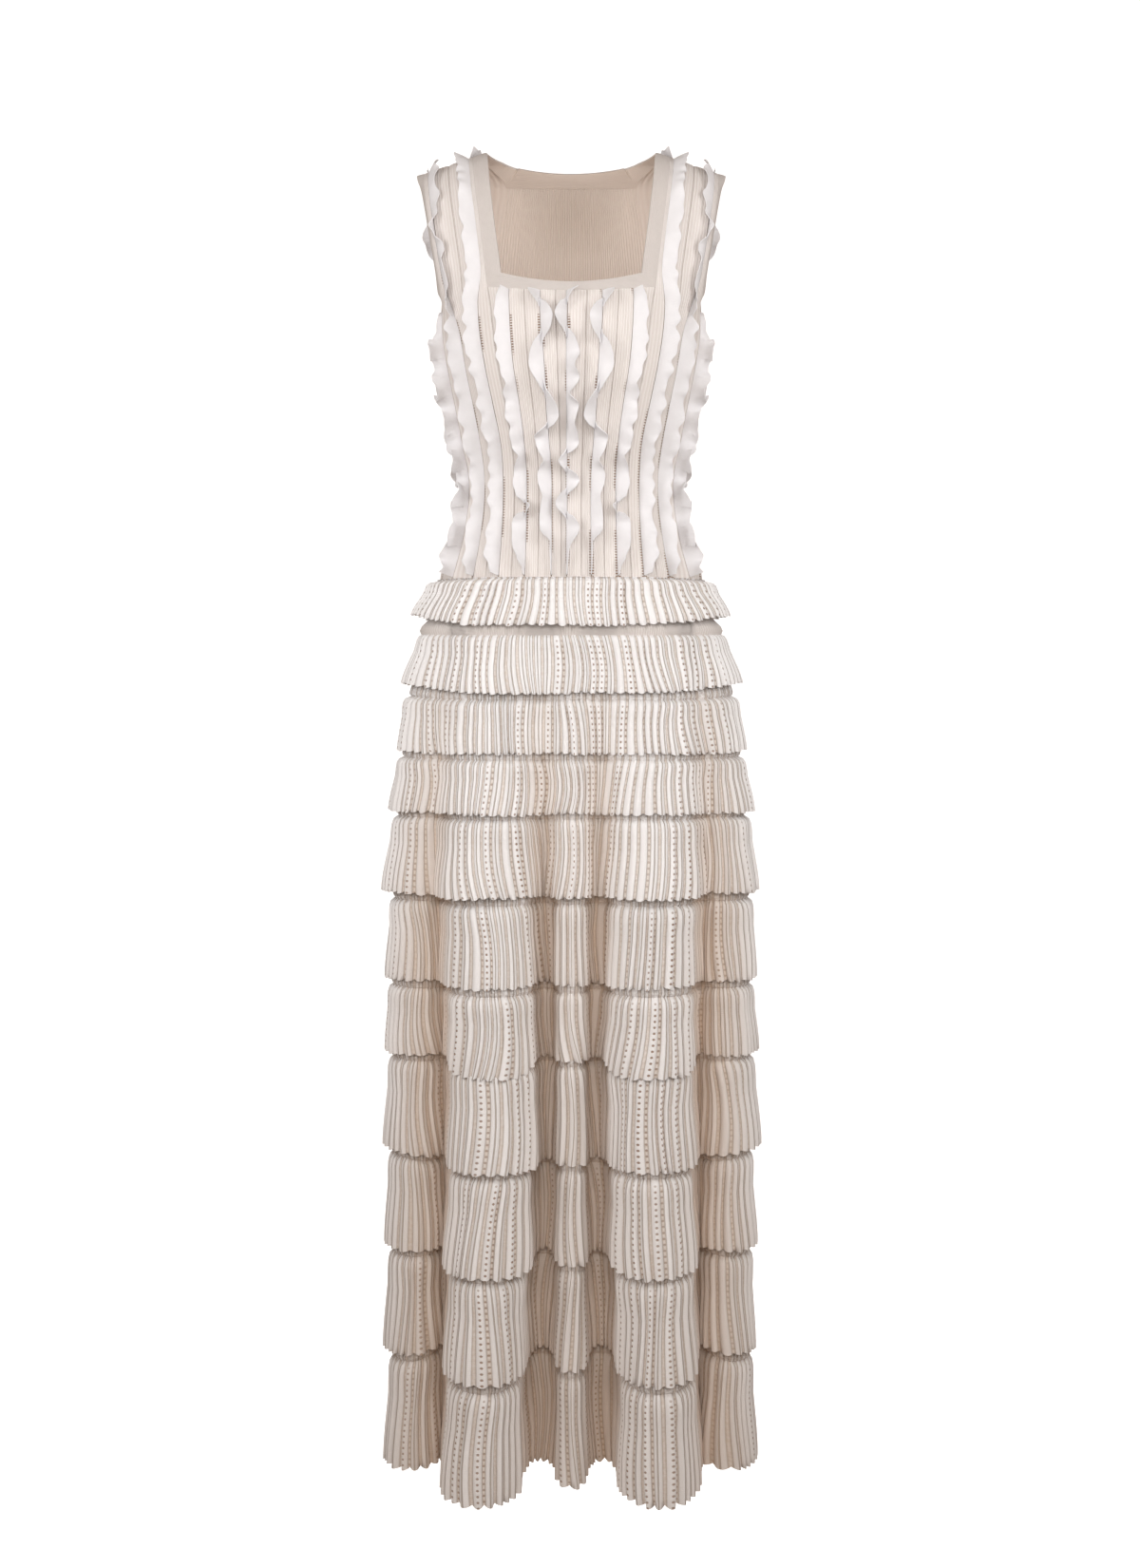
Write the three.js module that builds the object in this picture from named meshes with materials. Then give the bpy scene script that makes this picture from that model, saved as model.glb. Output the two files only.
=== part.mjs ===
// Sleeveless maxi dress in rib knit and openwork knit, hollow, in the shape it keeps when it is worn.
// Millimetres, +Z up, the front of the dress faces -Y, and +X is the wearer's left.
// The origin lies midway between the tops of the two straps, where the shoulders carry the dress.
import * as THREE from 'three';

// Cloth thickness, seams and trims
const PANEL_WALL = 1.6;
const BAND_WALL = 2.6;
const BAND_RAISE = 0.4;
const TIER_WALL = 1.6;
const FRILL_WALL = 1.2;
const SEAM = 0.3;
const CURVED_SEAM = 0.68;
const ARMBAND_WIDTH = 9.5;
const FRILL_WIDTH = 15;
const RIB_RAISE = 0.7;
const RIB_GROOVE = 0.4;

// Body section: a rounded box, y = deep * (1 - (x / half) ^ power) ^ (1 / power)
const SECTION_POWER = 2.3;
const SHOULDER_START = 94;
const SHOULDER_SPAN = 75;
const UNDERARM_DIP = 21;
const NECKLINE_SAG = 5.6;

// Square neckline of the front band
const NECK_CORNER = { x: 76, z: -148 };
const NECK_MIDDLE_Z = -159;

// Skirt
const SKIRT_COLUMNS = 64;
const HIP_Z = -478;
const HEM_Z = -1485;
const HEM_INSET = 12;
const SHOULDER_DROP = 12;
const PLEATS = 12;

function table(names, rows) {
  const keys = names.split(' ');
  return rows.map((row) => Object.fromEntries(keys.map((key, i) => [key, row[i]])));
}

// Sections of the front, from the shoulder seam to the hip seam. slope is the drop at the armhole, deep and
// half are the reach forward and sideways, rim is the edge of the neck opening, and a, b, neck, c, d and e are
// the distances from the middle of the lines that the frills and the band follow.
const FRONT = table('z slope deep half a b rim neck c d e', [
  [0, 25, 0, 200, 34, 68, 94, 109.7, 114, 159, 164],
  [-6, 25, 28, 200, 34, 68, 93.5, 109.3, 113.6, 158.6, 163.6],
  [-20, 22, 52, 192, 34, 68, 92, 108, 112.6, 158, 163],
  [-50, 13, 75, 188, 34, 68, 89, 105, 109.6, 155.6, 160.5],
  [-95, 4, 90, 182, 34, 68, 83.5, 99.5, 104, 150, 154.6],
  [-140, 0, 100, 172, 34, 68, 77.5, 94, 99, 143, 147.6],
  [-163, 0, 106, 159, 34, 68, 76, 91, 100.5, 137.5, 144.5],
  [-180, 0, 111, 149.5, 33.8, 67.8, 76, 88, 102, 131.4, 143],
  [-212, 0, 118, 146.5, 32.4, 66.5, 76, 84, 99.9, 122, 142.5],
  [-250, 0, 123, 141.3, 29.5, 63, 76, 79, 93.8, 115.5, 136.2],
  [-290, 0, 114, 133.3, 27, 56.7, 76, 71, 85.5, 107.4, 128.3],
  [-330, 0, 100, 128, 24.5, 51.6, 76, 64.5, 77.5, 100, 120.5],
  [-364, 0, 91, 123.5, 22, 49, 76, 62, 75, 95.8, 113.8],
  [-400, 0, 92, 129, 21.7, 49, 76, 62, 75, 96.4, 114.5],
  [-440, 0, 98, 137.5, 21.7, 49.8, 76, 63.3, 77, 101.4, 121.5],
  [-477.85, 0, 105, 148, 21.7, 51.2, 76, 65.6, 80, 108.2, 131.8],
]);
const FRONT_NECK_ROW = 6;
const FRONT_ARM_ROW = 7;
const FRONT_MIDDLE = -5;

const BACK = table('z slope deep half a b rim neck c d e', [
  [0, 25, 0, 200, 30, 54, 94, 109.7, 114, 159, 164],
  [-3, 25, 26, 200, 30, 54, 86, 100, 107, 158.6, 163.6],
  [-10, 24, 47, 195, 30, 54, 73, 87, 104, 158, 163],
  [-24, 20, 68, 190, 30, 54, 60, 74, 102, 156.5, 161.5],
  [-58, 12, 84, 186, 31, 58, 60, 79, 101, 154.5, 159.5],
  [-98, 4, 94, 180, 32, 62, 60, 84, 100, 149.6, 154.4],
  [-140, 0, 100, 172, 33, 66, 60, 87, 99, 143, 147.6],
  [-180, 0, 103, 149.5, 33.8, 67.8, 60, 88, 102, 131.4, 143],
  [-212, 0, 105, 146.5, 32.4, 66.5, 60, 84, 99.9, 122, 142.5],
  [-250, 0, 105, 141.3, 29.5, 63, 60, 79, 93.8, 115.5, 136.2],
  [-290, 0, 98, 133.3, 27, 56.7, 60, 71, 85.5, 107.4, 128.3],
  [-330, 0, 88, 128, 24.5, 51.6, 60, 64.5, 77.5, 100, 120.5],
  [-364, 0, 80, 123.5, 22, 49, 60, 62, 75, 95.8, 113.8],
  [-400, 0, 85, 129, 21.7, 49, 60, 62, 75, 96.4, 114.5],
  [-440, 0, 97, 137.5, 21.7, 49.8, 60, 63.3, 77, 101.4, 121.5],
  [-477.85, 0, 110, 148, 21.7, 51.2, 60, 65.6, 80, 108.2, 131.8],
]);
const BACK_NECK_ROW = 3;
const BACK_ARM_ROW = 7;

// Heights where each front frill leans furthest to one side, and its lean from upright there, in degrees,
// + away from the middle
const FRONT_FRILLS = {
  centre: table('z lean', [[-171, 55], [-197, -50], [-237, 55], [-278, 15], [-293, 55], [-330, 55],
    [-349, -35], [-372, 50], [-399, -45], [-425, 50], [-450, 10], [-475, 0]]),
  a: table('z lean', [[-171, 50], [-200, -50], [-247, 55], [-301, -50], [-325, 50], [-347, 25], [-363, 50],
    [-395, 40], [-420, 50], [-442, 10], [-475, 0]]),
  b: table('z lean', [[-171, 40], [-227, 55], [-267, 25], [-280, 50], [-312, 45], [-343, 25], [-364, 50],
    [-401, -30], [-419, 50], [-446, 45], [-475, 0]]),
  c: table('z lean', [[0, 50], [-46, 45], [-95, 55], [-165, 50], [-245, 55], [-330, 50], [-412, 50],
    [-475, 20]]),
  d: table('z lean', [[0, -40], [-66, -60], [-98, -25], [-150, -55], [-180, -35], [-225, 55], [-320, 50],
    [-414, 55], [-475, 10]]),
  e: table('z lean', [[-185, 20], [-203, -45], [-222, 25], [-246, -50], [-268, 30], [-292, -50],
    [-316, 30], [-342, -50], [-366, 28], [-392, -50], [-418, 30], [-446, -30], [-475, 10]]),
};
const BACK_TURN = 80;
const BACK_LEAN = 50;
const FRONT_FRILL_STEP = 16;
const BACK_FRILL_STEP = 34;

// The carrying skirt under the ruffle tiers, as sections from the hip seam to the hem of the last tier. fold
// is how far the section has turned from the hip's rounded box into the folded hem outline below, and close is
// how much of the fold table's pull towards the middle it has.
const SKIRT = table('z half front back fold close', [
  [-478.15, 148, 105, 110, 0, 1],
  [-545, 160, 108, 120, 0.03, 1],
  [-612, 172, 114, 128, 0.12, 1],
  [-741, 184, 134, 140, 0.36, 1],
  [-850, 189, 144, 147, 0.6, 1],
  [-1014, 192, 150, 152, 0.86, 1],
  [-1190, 194, 150, 152, 0.96, 0.6],
  [-1372, 195.5, 150, 152, 1, 0.15],
  [HEM_Z, 196, 150, 152, 1, 0],
]);
const LAST_BASE_ROW = 7;

// Half of the outer hem outline from the middle of the front to the middle of the back, one row for each turn
// of the large folds. hip is where the same thread lies on the hip seam, in degrees from the front, rise is how
// much of the valley lift the hem takes there, pull is how far nearer the middle it lies above the knee, and
// stand is the share of the full distance that the tiers stand off the carrying skirt.
const FOLDS = table('x y hip rise pull stand', [
  [0, -94, 0, 0.2, 0, 0.5],
  [13, -84, 2.5, 0.3, 0, 0.5],
  [16, -60, 4.5, 0.8, 0, 0.6],
  [24, -40, 6, 1, 6, 0.9],
  [46, -38, 9, 1, 17, 1],
  [57, -62, 11.5, 0.7, 20, 1],
  [60, -104, 15, 0.2, 20, 1],
  [78, -138, 21, 0, 18, 1],
  [98, -147, 28, 0, 15, 1],
  [118, -140, 35, 0, 12, 1],
  [137, -108, 41, 0.2, 9, 1],
  [140, -62, 45, 0.8, 8, 1],
  [146, -28, 49, 1, 6, 1],
  [158, -48, 54, 0.8, 2, 1],
  [178, -54, 63, 0.4, 0, 1],
  [198, -34, 76, 0.1, 0, 1],
  [208, 0, 90, 0, 0, 1],
  [200, 33, 103, 0.1, 0, 1],
  [178, 53, 114, 0.5, 0, 1],
  [154, 45, 123, 1, 0, 1],
  [139, 64, 128, 0.8, 0, 1],
  [136, 100, 133, 0.2, 0, 1],
  [116, 135, 139, 0, 0, 1],
  [94, 143, 145, 0, 0, 1],
  [70, 130, 151, 0.1, 0, 1],
  [56, 96, 157, 0.5, 0, 1],
  [37, 76, 164, 1, 0, 1],
  [18, 92, 172, 0.4, 0, 1],
  [0, 104, 180, 0.2, 0, 1],
]);

// The eleven ruffle tiers. puff and flare are how far the outside stands off the carrying skirt just below
// the heading and at the hem, wave is the height of the pleats there, climb and side are how much higher the
// heading and the hem run at the sides, valley is how much the hem lifts in the valleys of the folds, and lobe
// how much it drops on the large front folds.
const TIERS = table('top hem puff flare wave climb side valley lobe', [
  [-479, -530, 8, 21, 2.5, 0, 15, 0, 0],
  [-541, -604, 8, 18, 2.5, 4, 13, 0, 0],
  [-612, -670, 9, 15, 2.5, 5, 3, 0, 0],
  [-677, -735, 9, 16, 2.5, 2, 0, 0, 0],
  [-741, -825, 9, 20, 3, 0, 0, 0, 0],
  [-834, -923, 9, 14, 3, 0, 0, 0, 0],
  [-932, -1007, 10, 14, 3, 0, 0, 0, 13],
  [-1014, -1123, 11, 14, 3, 0, 8, 0, 0],
  [-1130, -1237, 11, 14, 3, 7, 9, 9, 0],
  [-1244, -1355, 11, 14, 3, 8, 8, 16, 0],
  [-1365, HEM_Z, 11, 14, 3, 8, 10, 16, 0],
]);

// Materials
const ribKnit = cloth(0xf1ede8);
const bandKnit = cloth(0xf3f0ec);
const frillKnit = cloth(0xf7f5f4);
const openworkKnit = cloth(0xeee6dd);

function cloth(color) {
  return new THREE.MeshStandardMaterial({ color, roughness: 0.9, metalness: 0 });
}

function mix(a, b, t) {
  return a + (b - a) * t;
}

function ease(t) {
  const s = Math.min(1, Math.max(0, t));
  return s * s * (3 - 2 * s);
}

// Value of a table's column at height z, between the rows that lie round it
function at(rows, key, z) {
  const last = rows.length - 1;
  let i = 0;
  while (i < last - 1 && z < rows[i + 1].z) i += 1;
  const t = Math.min(1, Math.max(0, (z - rows[i].z) / (rows[i + 1].z - rows[i].z)));
  return mix(rows[i][key], rows[i + 1][key], t);
}

function sectionDepth(deep, half, x) {
  const reach = Math.min(1, Math.abs(x) / half);
  return deep * (1 - reach ** SECTION_POWER) ** (1 / SECTION_POWER);
}

function sectionHalf(deep, half, y) {
  if (deep === 0) return half;
  const reach = Math.min(1, Math.abs(y) / deep);
  return half * (1 - reach ** SECTION_POWER) ** (1 / SECTION_POWER);
}

// A wall between a grid of outer points and the same grid of inner points. keep says which squares are cloth,
// and ridge chooses the diagonal of each square that stands further out, or further in.
function wall(outer, inner, { keep = () => true, closed = false, ridge = true } = {}) {
  const rows = outer.length;
  const columns = outer[0].length;
  const steps = closed ? columns : columns - 1;
  const points = outer.flat().concat(inner.flat());
  const innerStart = rows * columns;
  const faces = [];
  const middle = new THREE.Vector3();
  const other = new THREE.Vector3();
  const out = new THREE.Vector3();
  for (let i = 0; i < rows - 1; i += 1) {
    for (let j = 0; j < steps; j += 1) {
      if (!keep(i, j)) continue;
      const next = (j + 1) % columns;
      const a = i * columns + j;
      const b = i * columns + next;
      const c = (i + 1) * columns + next;
      const d = (i + 1) * columns + j;
      middle.addVectors(points[a], points[c]);
      other.addVectors(points[b], points[d]);
      out.subVectors(points[a], points[a + innerStart]);
      const mainStandsOut = middle.sub(other).dot(out) > 0;
      if (mainStandsOut === ridge) faces.push([a, b, c], [a, c, d]);
      else faces.push([a, b, d], [b, c, d]);
    }
  }
  const edges = new Set(faces.flatMap(([a, b, c]) => [`${a} ${b}`, `${b} ${c}`, `${c} ${a}`]));
  const all = [];
  for (const [a, b, c] of faces) {
    all.push([a, b, c], [c + innerStart, b + innerStart, a + innerStart]);
    for (const [from, to] of [[a, b], [b, c], [c, a]]) {
      if (edges.has(`${to} ${from}`)) continue;
      all.push([to, from, from + innerStart], [to, from + innerStart, to + innerStart]);
    }
  }
  return solid(points, all);
}

// An indexed geometry of the points in use, with its faces pointing out
function solid(points, faces) {
  let volume = 0;
  const cross = new THREE.Vector3();
  for (const [a, b, c] of faces) volume += points[a].dot(cross.crossVectors(points[b], points[c]));
  const places = new Map();
  const positions = [];
  const index = faces.flatMap((face) => (volume > 0 ? face : [...face].reverse())).map((old) => {
    if (!places.has(old)) {
      places.set(old, places.size);
      positions.push(...points[old].toArray());
    }
    return places.get(old);
  });
  const geometry = new THREE.BufferGeometry();
  geometry.setAttribute('position', new THREE.Float32BufferAttribute(positions, 3));
  geometry.setIndex(index);
  geometry.computeVertexNormals();
  return geometry;
}

const dress = new THREE.Group();

function add(name, geometry, material) {
  const mesh = new THREE.Mesh(geometry, material);
  mesh.name = name;
  dress.add(mesh);
}

// Which way is out of the dress at a point of the bodice
function outward(point) {
  return new THREE.Vector3(point.x, point.y, Math.max(0, point.z + 150));
}

function surfaceNormal(grid, i, j) {
  const up = grid[Math.max(0, i - 1)][j];
  const down = grid[Math.min(grid.length - 1, i + 1)][j];
  const left = grid[i][Math.max(0, j - 1)];
  const right = grid[i][Math.min(grid[0].length - 1, j + 1)];
  const across = new THREE.Vector3().subVectors(right, left);
  const along = new THREE.Vector3().subVectors(down, up);
  const normal = across.cross(along);
  if (normal.dot(outward(grid[i][j])) < 0) normal.negate();
  return normal;
}

// Distances from the middle of one section's columns out to the line beside the armhole
function columnLines({ a, b, neck, c, d, e }) {
  return [0, a / 2, a, (a + b) / 2, b, neck, c, (c + d) / 2, d, e];
}
const NECK_COLUMN = 5;
const ARM_COLUMN = 9;
const SIDE_COLUMN = 11;
const FRILL_COLUMNS = { centre: 0, a: 2, b: 4, c: 6, d: 8, e: 9 };
const RIB_RELIEF = [0, 1, -1, 1, -1, 0, -1, 1, -1, 0, 1, 0];

// Half of one section from the middle out to the side seam, on the +X side. facing is -1 in front, 1 behind.
function sectionPoints(row, i, facing, neckRow, armRow, middle) {
  const points = columnLines(row).map((line, column) => {
    const x = column === 0 ? middle : line;
    const slope = row.slope * Math.max(0, (line - SHOULDER_START) / SHOULDER_SPAN);
    const inNeckline = facing < 0 && i === neckRow;
    const sag = inNeckline ? NECKLINE_SAG * (1 - Math.min(1, line / row.neck) ** 2) : 0;
    const depth = Math.max(SEAM / 2, sectionDepth(row.deep, row.half, x));
    return new THREE.Vector3(x, facing * depth, row.z - slope - sag);
  });
  const edge = points[ARM_COLUMN];
  for (const share of [0.5, 1]) {
    const depth = Math.max(SEAM / 2, Math.abs(edge.y) * (1 - share));
    const dip = i === armRow ? UNDERARM_DIP * Math.sqrt(1 - (1 - share) ** 2) : 0;
    const x = i < armRow ? edge.x + 5 * share : sectionHalf(row.deep, row.half, depth);
    points.push(new THREE.Vector3(x, facing * depth, edge.z - dip));
  }
  return points;
}

function mirrorX(point) {
  return new THREE.Vector3(-point.x, point.y, point.z);
}

// One half of the bodice, front or back, as a grid of points on its plain outside with a normal at each
function bodiceGrid(rows, facing, neckRow, armRow, middle) {
  const grid = rows.map((row, i) => {
    const right = sectionPoints(row, i, facing, neckRow, armRow, middle);
    const left = right.slice(1).map(mirrorX).reverse();
    return [...left, ...right];
  });
  const last = grid.length - 1;
  const normals = grid.map((line, i) => line.map((point, j) => {
    const normal = surfaceNormal(grid, i, j);
    if (i === 0 || j === 0 || j === line.length - 1) normal.y = 0;
    if (i === last) normal.z = 0;
    return normal.normalize();
  }));
  return { rows, grid, normals, facing, neckRow, armRow };
}

const front = bodiceGrid(FRONT, -1, FRONT_NECK_ROW, FRONT_ARM_ROW, FRONT_MIDDLE);
const back = bodiceGrid(BACK, 1, BACK_NECK_ROW, BACK_ARM_ROW, 0);

function shifted(grid, normals, distance) {
  return grid.map((line, i) => line.map(
    (point, j) => point.clone().addScaledVector(normals[i][j], distance(i, j)),
  ));
}

function addBodicePanel(name, panel) {
  const relief = (i, j) => {
    const level = RIB_RELIEF[Math.abs(j - SIDE_COLUMN)];
    return level * (level > 0 ? RIB_RAISE : RIB_GROOVE);
  };
  const keep = (i, j) => {
    const column = j >= SIDE_COLUMN ? j - SIDE_COLUMN : SIDE_COLUMN - 1 - j;
    if (i < panel.neckRow && column < NECK_COLUMN) return false;
    return i >= panel.armRow || column < ARM_COLUMN;
  };
  const outer = shifted(panel.grid, panel.normals, relief);
  const inner = shifted(panel.grid, panel.normals, () => -PANEL_WALL);
  add(name, wall(outer, inner, { keep }), ribKnit);
}

// A band along an edge: each station has the edge point, the way across the band and the normal of the cloth
function addBand(name, stations, closed) {
  const outer = [[], []];
  const inner = [[], []];
  for (const { edge, rim, normal } of stations) {
    [edge, rim].forEach((point, side) => {
      outer[side].push(point.clone().addScaledVector(normal, BAND_RAISE));
      inner[side].push(point.clone().addScaledVector(normal, BAND_RAISE - BAND_WALL));
    });
  }
  add(name, wall(outer, inner, { closed }), bandKnit);
}

function bandStation(point, normal, toward, rim) {
  const way = new THREE.Vector3().subVectors(toward, point);
  way.addScaledVector(normal, -way.dot(normal)).normalize();
  return { edge: point.clone().addScaledVector(way, CURVED_SEAM), rim, normal };
}

// Neck edge of one half of the bodice, from the strap on the +X side across the middle to the other strap
function addNeckband(name, panel) {
  const half = [];
  for (let i = 0; i < panel.neckRow; i += 1) {
    const row = panel.rows[i];
    const column = SIDE_COLUMN + NECK_COLUMN;
    const depth = Math.max(SEAM / 2, sectionDepth(row.deep, row.half, row.rim));
    const rim = new THREE.Vector3(row.rim, panel.facing * depth, row.z);
    half.push(bandStation(panel.grid[i][column], panel.normals[i][column], rim, rim));
  }
  const edgeRow = panel.grid[panel.neckRow];
  for (let column = NECK_COLUMN; column >= 0; column -= 1) {
    const j = SIDE_COLUMN + column;
    const rim = neckRim(panel, edgeRow[j].x, column);
    half.push(bandStation(edgeRow[j], panel.normals[panel.neckRow][j], rim, rim));
  }
  const other = half.slice(0, -1).map(({ edge, rim, normal }) => ({
    edge: mirrorX(edge), rim: mirrorX(rim), normal: mirrorX(normal),
  }));
  addBand(name, [...half, ...other.reverse()], false);
}

function neckRim(panel, x, column) {
  const { rows, facing, neckRow } = panel;
  if (facing < 0) {
    const across = column === NECK_COLUMN ? NECK_CORNER.x : Math.min(NECK_CORNER.x, Math.abs(x));
    const z = mix(NECK_MIDDLE_Z, NECK_CORNER.z, (across / NECK_CORNER.x) ** 2);
    const depth = sectionDepth(at(rows, 'deep', z), at(rows, 'half', z), across);
    return new THREE.Vector3(Math.sign(x) * across, -depth, z);
  }
  const share = column / NECK_COLUMN;
  const across = rows[neckRow].rim * share;
  const z = mix(-10, -9.5, share ** 2);
  return new THREE.Vector3(across, mix(60, 48.5, share ** 2), z);
}

// Edge of one armhole on the +X side, over the shoulder, down the front, under the arm and up the back
function armholeStations() {
  const stations = [];
  const edgePoint = (panel, i, column) => panel.grid[i][SIDE_COLUMN + column].clone();
  const station = (panel, i, column, way) => {
    const point = edgePoint(panel, i, column);
    const normal = panel.normals[i][SIDE_COLUMN + column];
    const across = way.clone().addScaledVector(normal, -way.dot(normal)).normalize();
    stations.push({
      edge: point.clone().addScaledVector(across, CURVED_SEAM),
      rim: point.clone().addScaledVector(across, CURVED_SEAM + ARMBAND_WIDTH),
      normal,
    });
  };
  const sideways = (panel, i) => edgePoint(panel, i, ARM_COLUMN).sub(edgePoint(panel, i, ARM_COLUMN - 1));
  const up = new THREE.Vector3(0, 0, 1);
  const corner = (panel) => sideways(panel, panel.armRow).normalize().multiplyScalar(0.6).add(up);
  const rise = (panel, share) => new THREE.Vector3(0, -panel.facing * share, 1);
  for (let i = 0; i < front.armRow; i += 1) station(front, i, ARM_COLUMN, sideways(front, i));
  station(front, front.armRow, ARM_COLUMN, corner(front));
  station(front, front.armRow, ARM_COLUMN + 1, rise(front, 0.5));
  station(front, front.armRow, SIDE_COLUMN, up);
  station(back, back.armRow, ARM_COLUMN + 1, rise(back, 0.5));
  station(back, back.armRow, ARM_COLUMN, corner(back));
  for (let i = back.armRow - 1; i > 0; i -= 1) station(back, i, ARM_COLUMN, sideways(back, i));
  return stations;
}

function addArmbands() {
  const stations = armholeStations();
  addBand('armband_left', stations, true);
  const mirrored = stations.map(({ edge, rim, normal }) => ({
    edge: mirrorX(edge), rim: mirrorX(rim), normal: mirrorX(normal),
  }));
  addBand('armband_right', mirrored, true);
}

// Lean of a frill at height z, turning smoothly between the rows of its table
function leanAt(turns, z) {
  let i = 0;
  while (i < turns.length - 2 && z < turns[i + 1].z) i += 1;
  return mix(turns[i].lean, turns[i + 1].lean, ease((z - turns[i].z) / (turns[i + 1].z - turns[i].z)));
}

// A narrow frill that stands on one column line of the bodice and leans from side to side. side is 1 or -1.
function addFrill(name, panel, line, side, turns, step) {
  const column = SIDE_COLUMN + side * FRILL_COLUMNS[line];
  const outer = [];
  const inner = [];
  for (const { root, normal, along, room } of frillStations(panel, column, turns, step)) {
    const across = new THREE.Vector3().crossVectors(along, normal).normalize();
    if (across.x < 0) across.negate();
    const limit = Math.asin(Math.min(0.95, (0.44 * room) / FRILL_WIDTH));
    const wish = THREE.MathUtils.degToRad(leanAt(turns, root.z)) * side;
    const lean = Math.max(-limit, Math.min(limit, wish));
    const rise = normal.clone().multiplyScalar(Math.cos(lean)).addScaledVector(across, Math.sin(lean));
    const flat = normal.clone().multiplyScalar(-Math.sin(lean)).addScaledVector(across, Math.cos(lean));
    const lift = SEAM + 0.5 * FRILL_WALL * Math.abs(Math.sin(lean)) + RIB_RAISE * Math.abs(Math.sin(lean));
    const foot = root.clone().addScaledVector(normal, lift);
    const tip = foot.clone().addScaledVector(rise, FRILL_WIDTH);
    outer.push([foot, tip].map((p) => p.clone().addScaledVector(flat, 0.5 * FRILL_WALL)));
    inner.push([foot, tip].map((p) => p.clone().addScaledVector(flat, -0.5 * FRILL_WALL)));
  }
  add(name, wall(outer, inner), frillKnit);
}

// Places down a column line, between the first and last turns, at every section and at even steps between
function frillStations(panel, column, turns, step) {
  const { grid, normals } = panel;
  const top = turns[0].z;
  const bottom = turns[turns.length - 1].z;
  const stations = [];
  for (let i = 0; i < grid.length - 1; i += 1) {
    const a = grid[i][column];
    const b = grid[i + 1][column];
    if (i < stationStart(panel, column)) continue;
    const count = Math.max(1, Math.round(a.distanceTo(b) / step));
    for (let k = 0; k <= count; k += 1) {
      if (k === count && i < grid.length - 2) continue;
      const t = frillShare(i, k / count, stationStart(panel, column), grid.length - 2);
      const root = a.clone().lerp(b, t);
      const room = Math.min(
        root.distanceTo(grid[i][neighbour(column, -1)].clone().lerp(grid[i + 1][neighbour(column, -1)], t)),
        root.distanceTo(grid[i][neighbour(column, 1)].clone().lerp(grid[i + 1][neighbour(column, 1)], t)),
      );
      stations.push({
        root,
        normal: normals[i][column].clone().lerp(normals[i + 1][column], t).normalize(),
        along: b.clone().sub(a).normalize(),
        room,
      });
    }
  }
  return stations.filter(({ root }) => root.z <= top + 30 && root.z >= bottom - 1);
}

// The first and last stations stand a little inside the ends of the panel
function frillShare(i, t, first, last) {
  if (i === first && t === 0) return 0.06;
  if (i === last && t === 1) return 0.94;
  return t;
}

function stationStart(panel, column) {
  const distance = Math.abs(column - SIDE_COLUMN);
  if (distance < NECK_COLUMN) return panel.neckRow;
  return distance === ARM_COLUMN ? panel.armRow : 0;
}

// Column of the next frill line on either side
function neighbour(column, way) {
  const lines = Object.values(FRILL_COLUMNS).flatMap((c) => [SIDE_COLUMN + c, SIDE_COLUMN - c]);
  const beyond = [...new Set(lines), 0, 2 * SIDE_COLUMN].filter((c) => (c - column) * way > 0);
  return beyond.sort((p, q) => (p - q) * way)[0];
}

// Turns of a back frill, even and softer than the front ones
function backTurns(start, phase) {
  const turns = [];
  for (let z = start, k = phase; z > HIP_Z + 20; z -= BACK_TURN, k += 1) {
    turns.push({ z, lean: k % 2 ? BACK_LEAN : -BACK_LEAN });
  }
  return [...turns, { z: HIP_Z + 3, lean: 0 }];
}

function addFrills() {
  const sides = [['left', 1], ['right', -1]];
  addFrill('frill_front_centre', front, 'centre', 1, FRONT_FRILLS.centre, FRONT_FRILL_STEP);
  addFrill('frill_back_centre', back, 'centre', 1, backTurns(-30, 0), BACK_FRILL_STEP);
  for (const line of ['a', 'b', 'c', 'd', 'e']) {
    for (const [word, side] of sides) {
      const start = { a: -30, b: -30, c: 0, d: 0, e: -185 }[line];
      const phase = 'abcde'.indexOf(line);
      addFrill(`frill_front_${line}_${word}`, front, line, side, FRONT_FRILLS[line], FRONT_FRILL_STEP);
      addFrill(`frill_back_${line}_${word}`, back, line, side, backTurns(start, phase), BACK_FRILL_STEP);
    }
  }
}

// Closed curve through one column of the fold table, mirrored to the whole hem
function foldValues(read, mirrorSign) {
  const right = FOLDS.map(read);
  const left = right.slice(1, -1).map((value) => value * mirrorSign).reverse();
  return [...right, ...left];
}

function closedCurve(values, share) {
  const count = values.length;
  const place = share * count;
  const i = Math.floor(place);
  const t = place - i;
  const [p0, p1, p2, p3] = [-1, 0, 1, 2].map((k) => values[(i + k + count) % count]);
  return 0.5 * (2 * p1 + (p2 - p0) * t + (2 * p0 - 5 * p1 + 4 * p2 - p3) * t ** 2
    + (3 * p1 - p0 - 3 * p2 + p3) * t ** 3);
}

const foldX = foldValues((fold) => fold.x, -1);
const foldY = foldValues((fold) => fold.y, 1);
const foldRise = foldValues((fold) => fold.rise, 1);
const foldPull = foldValues((fold) => fold.pull, -1);
const foldStand = foldValues((fold) => fold.stand, 1);

// Hip angle of each hem control point, running on past the back to the full turn
const foldHip = (() => {
  const right = FOLDS.map((fold) => fold.hip);
  const left = right.slice(1, -1).map((angle) => 360 - angle).reverse();
  return [...right, ...left];
})();

function hipAngle(share) {
  const count = foldHip.length;
  const place = share * count;
  const i = Math.floor(place);
  const nextAngle = i + 1 < count ? foldHip[i + 1] : 360;
  return THREE.MathUtils.degToRad(mix(foldHip[i], nextAngle, place - i));
}

function planNormals(points) {
  const count = points.length;
  return points.map((point, j) => {
    const before = points[(j - 1 + count) % count];
    const after = points[(j + 1) % count];
    return new THREE.Vector3(-(after.y - before.y), after.x - before.x, 0).normalize().negate();
  });
}

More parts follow.
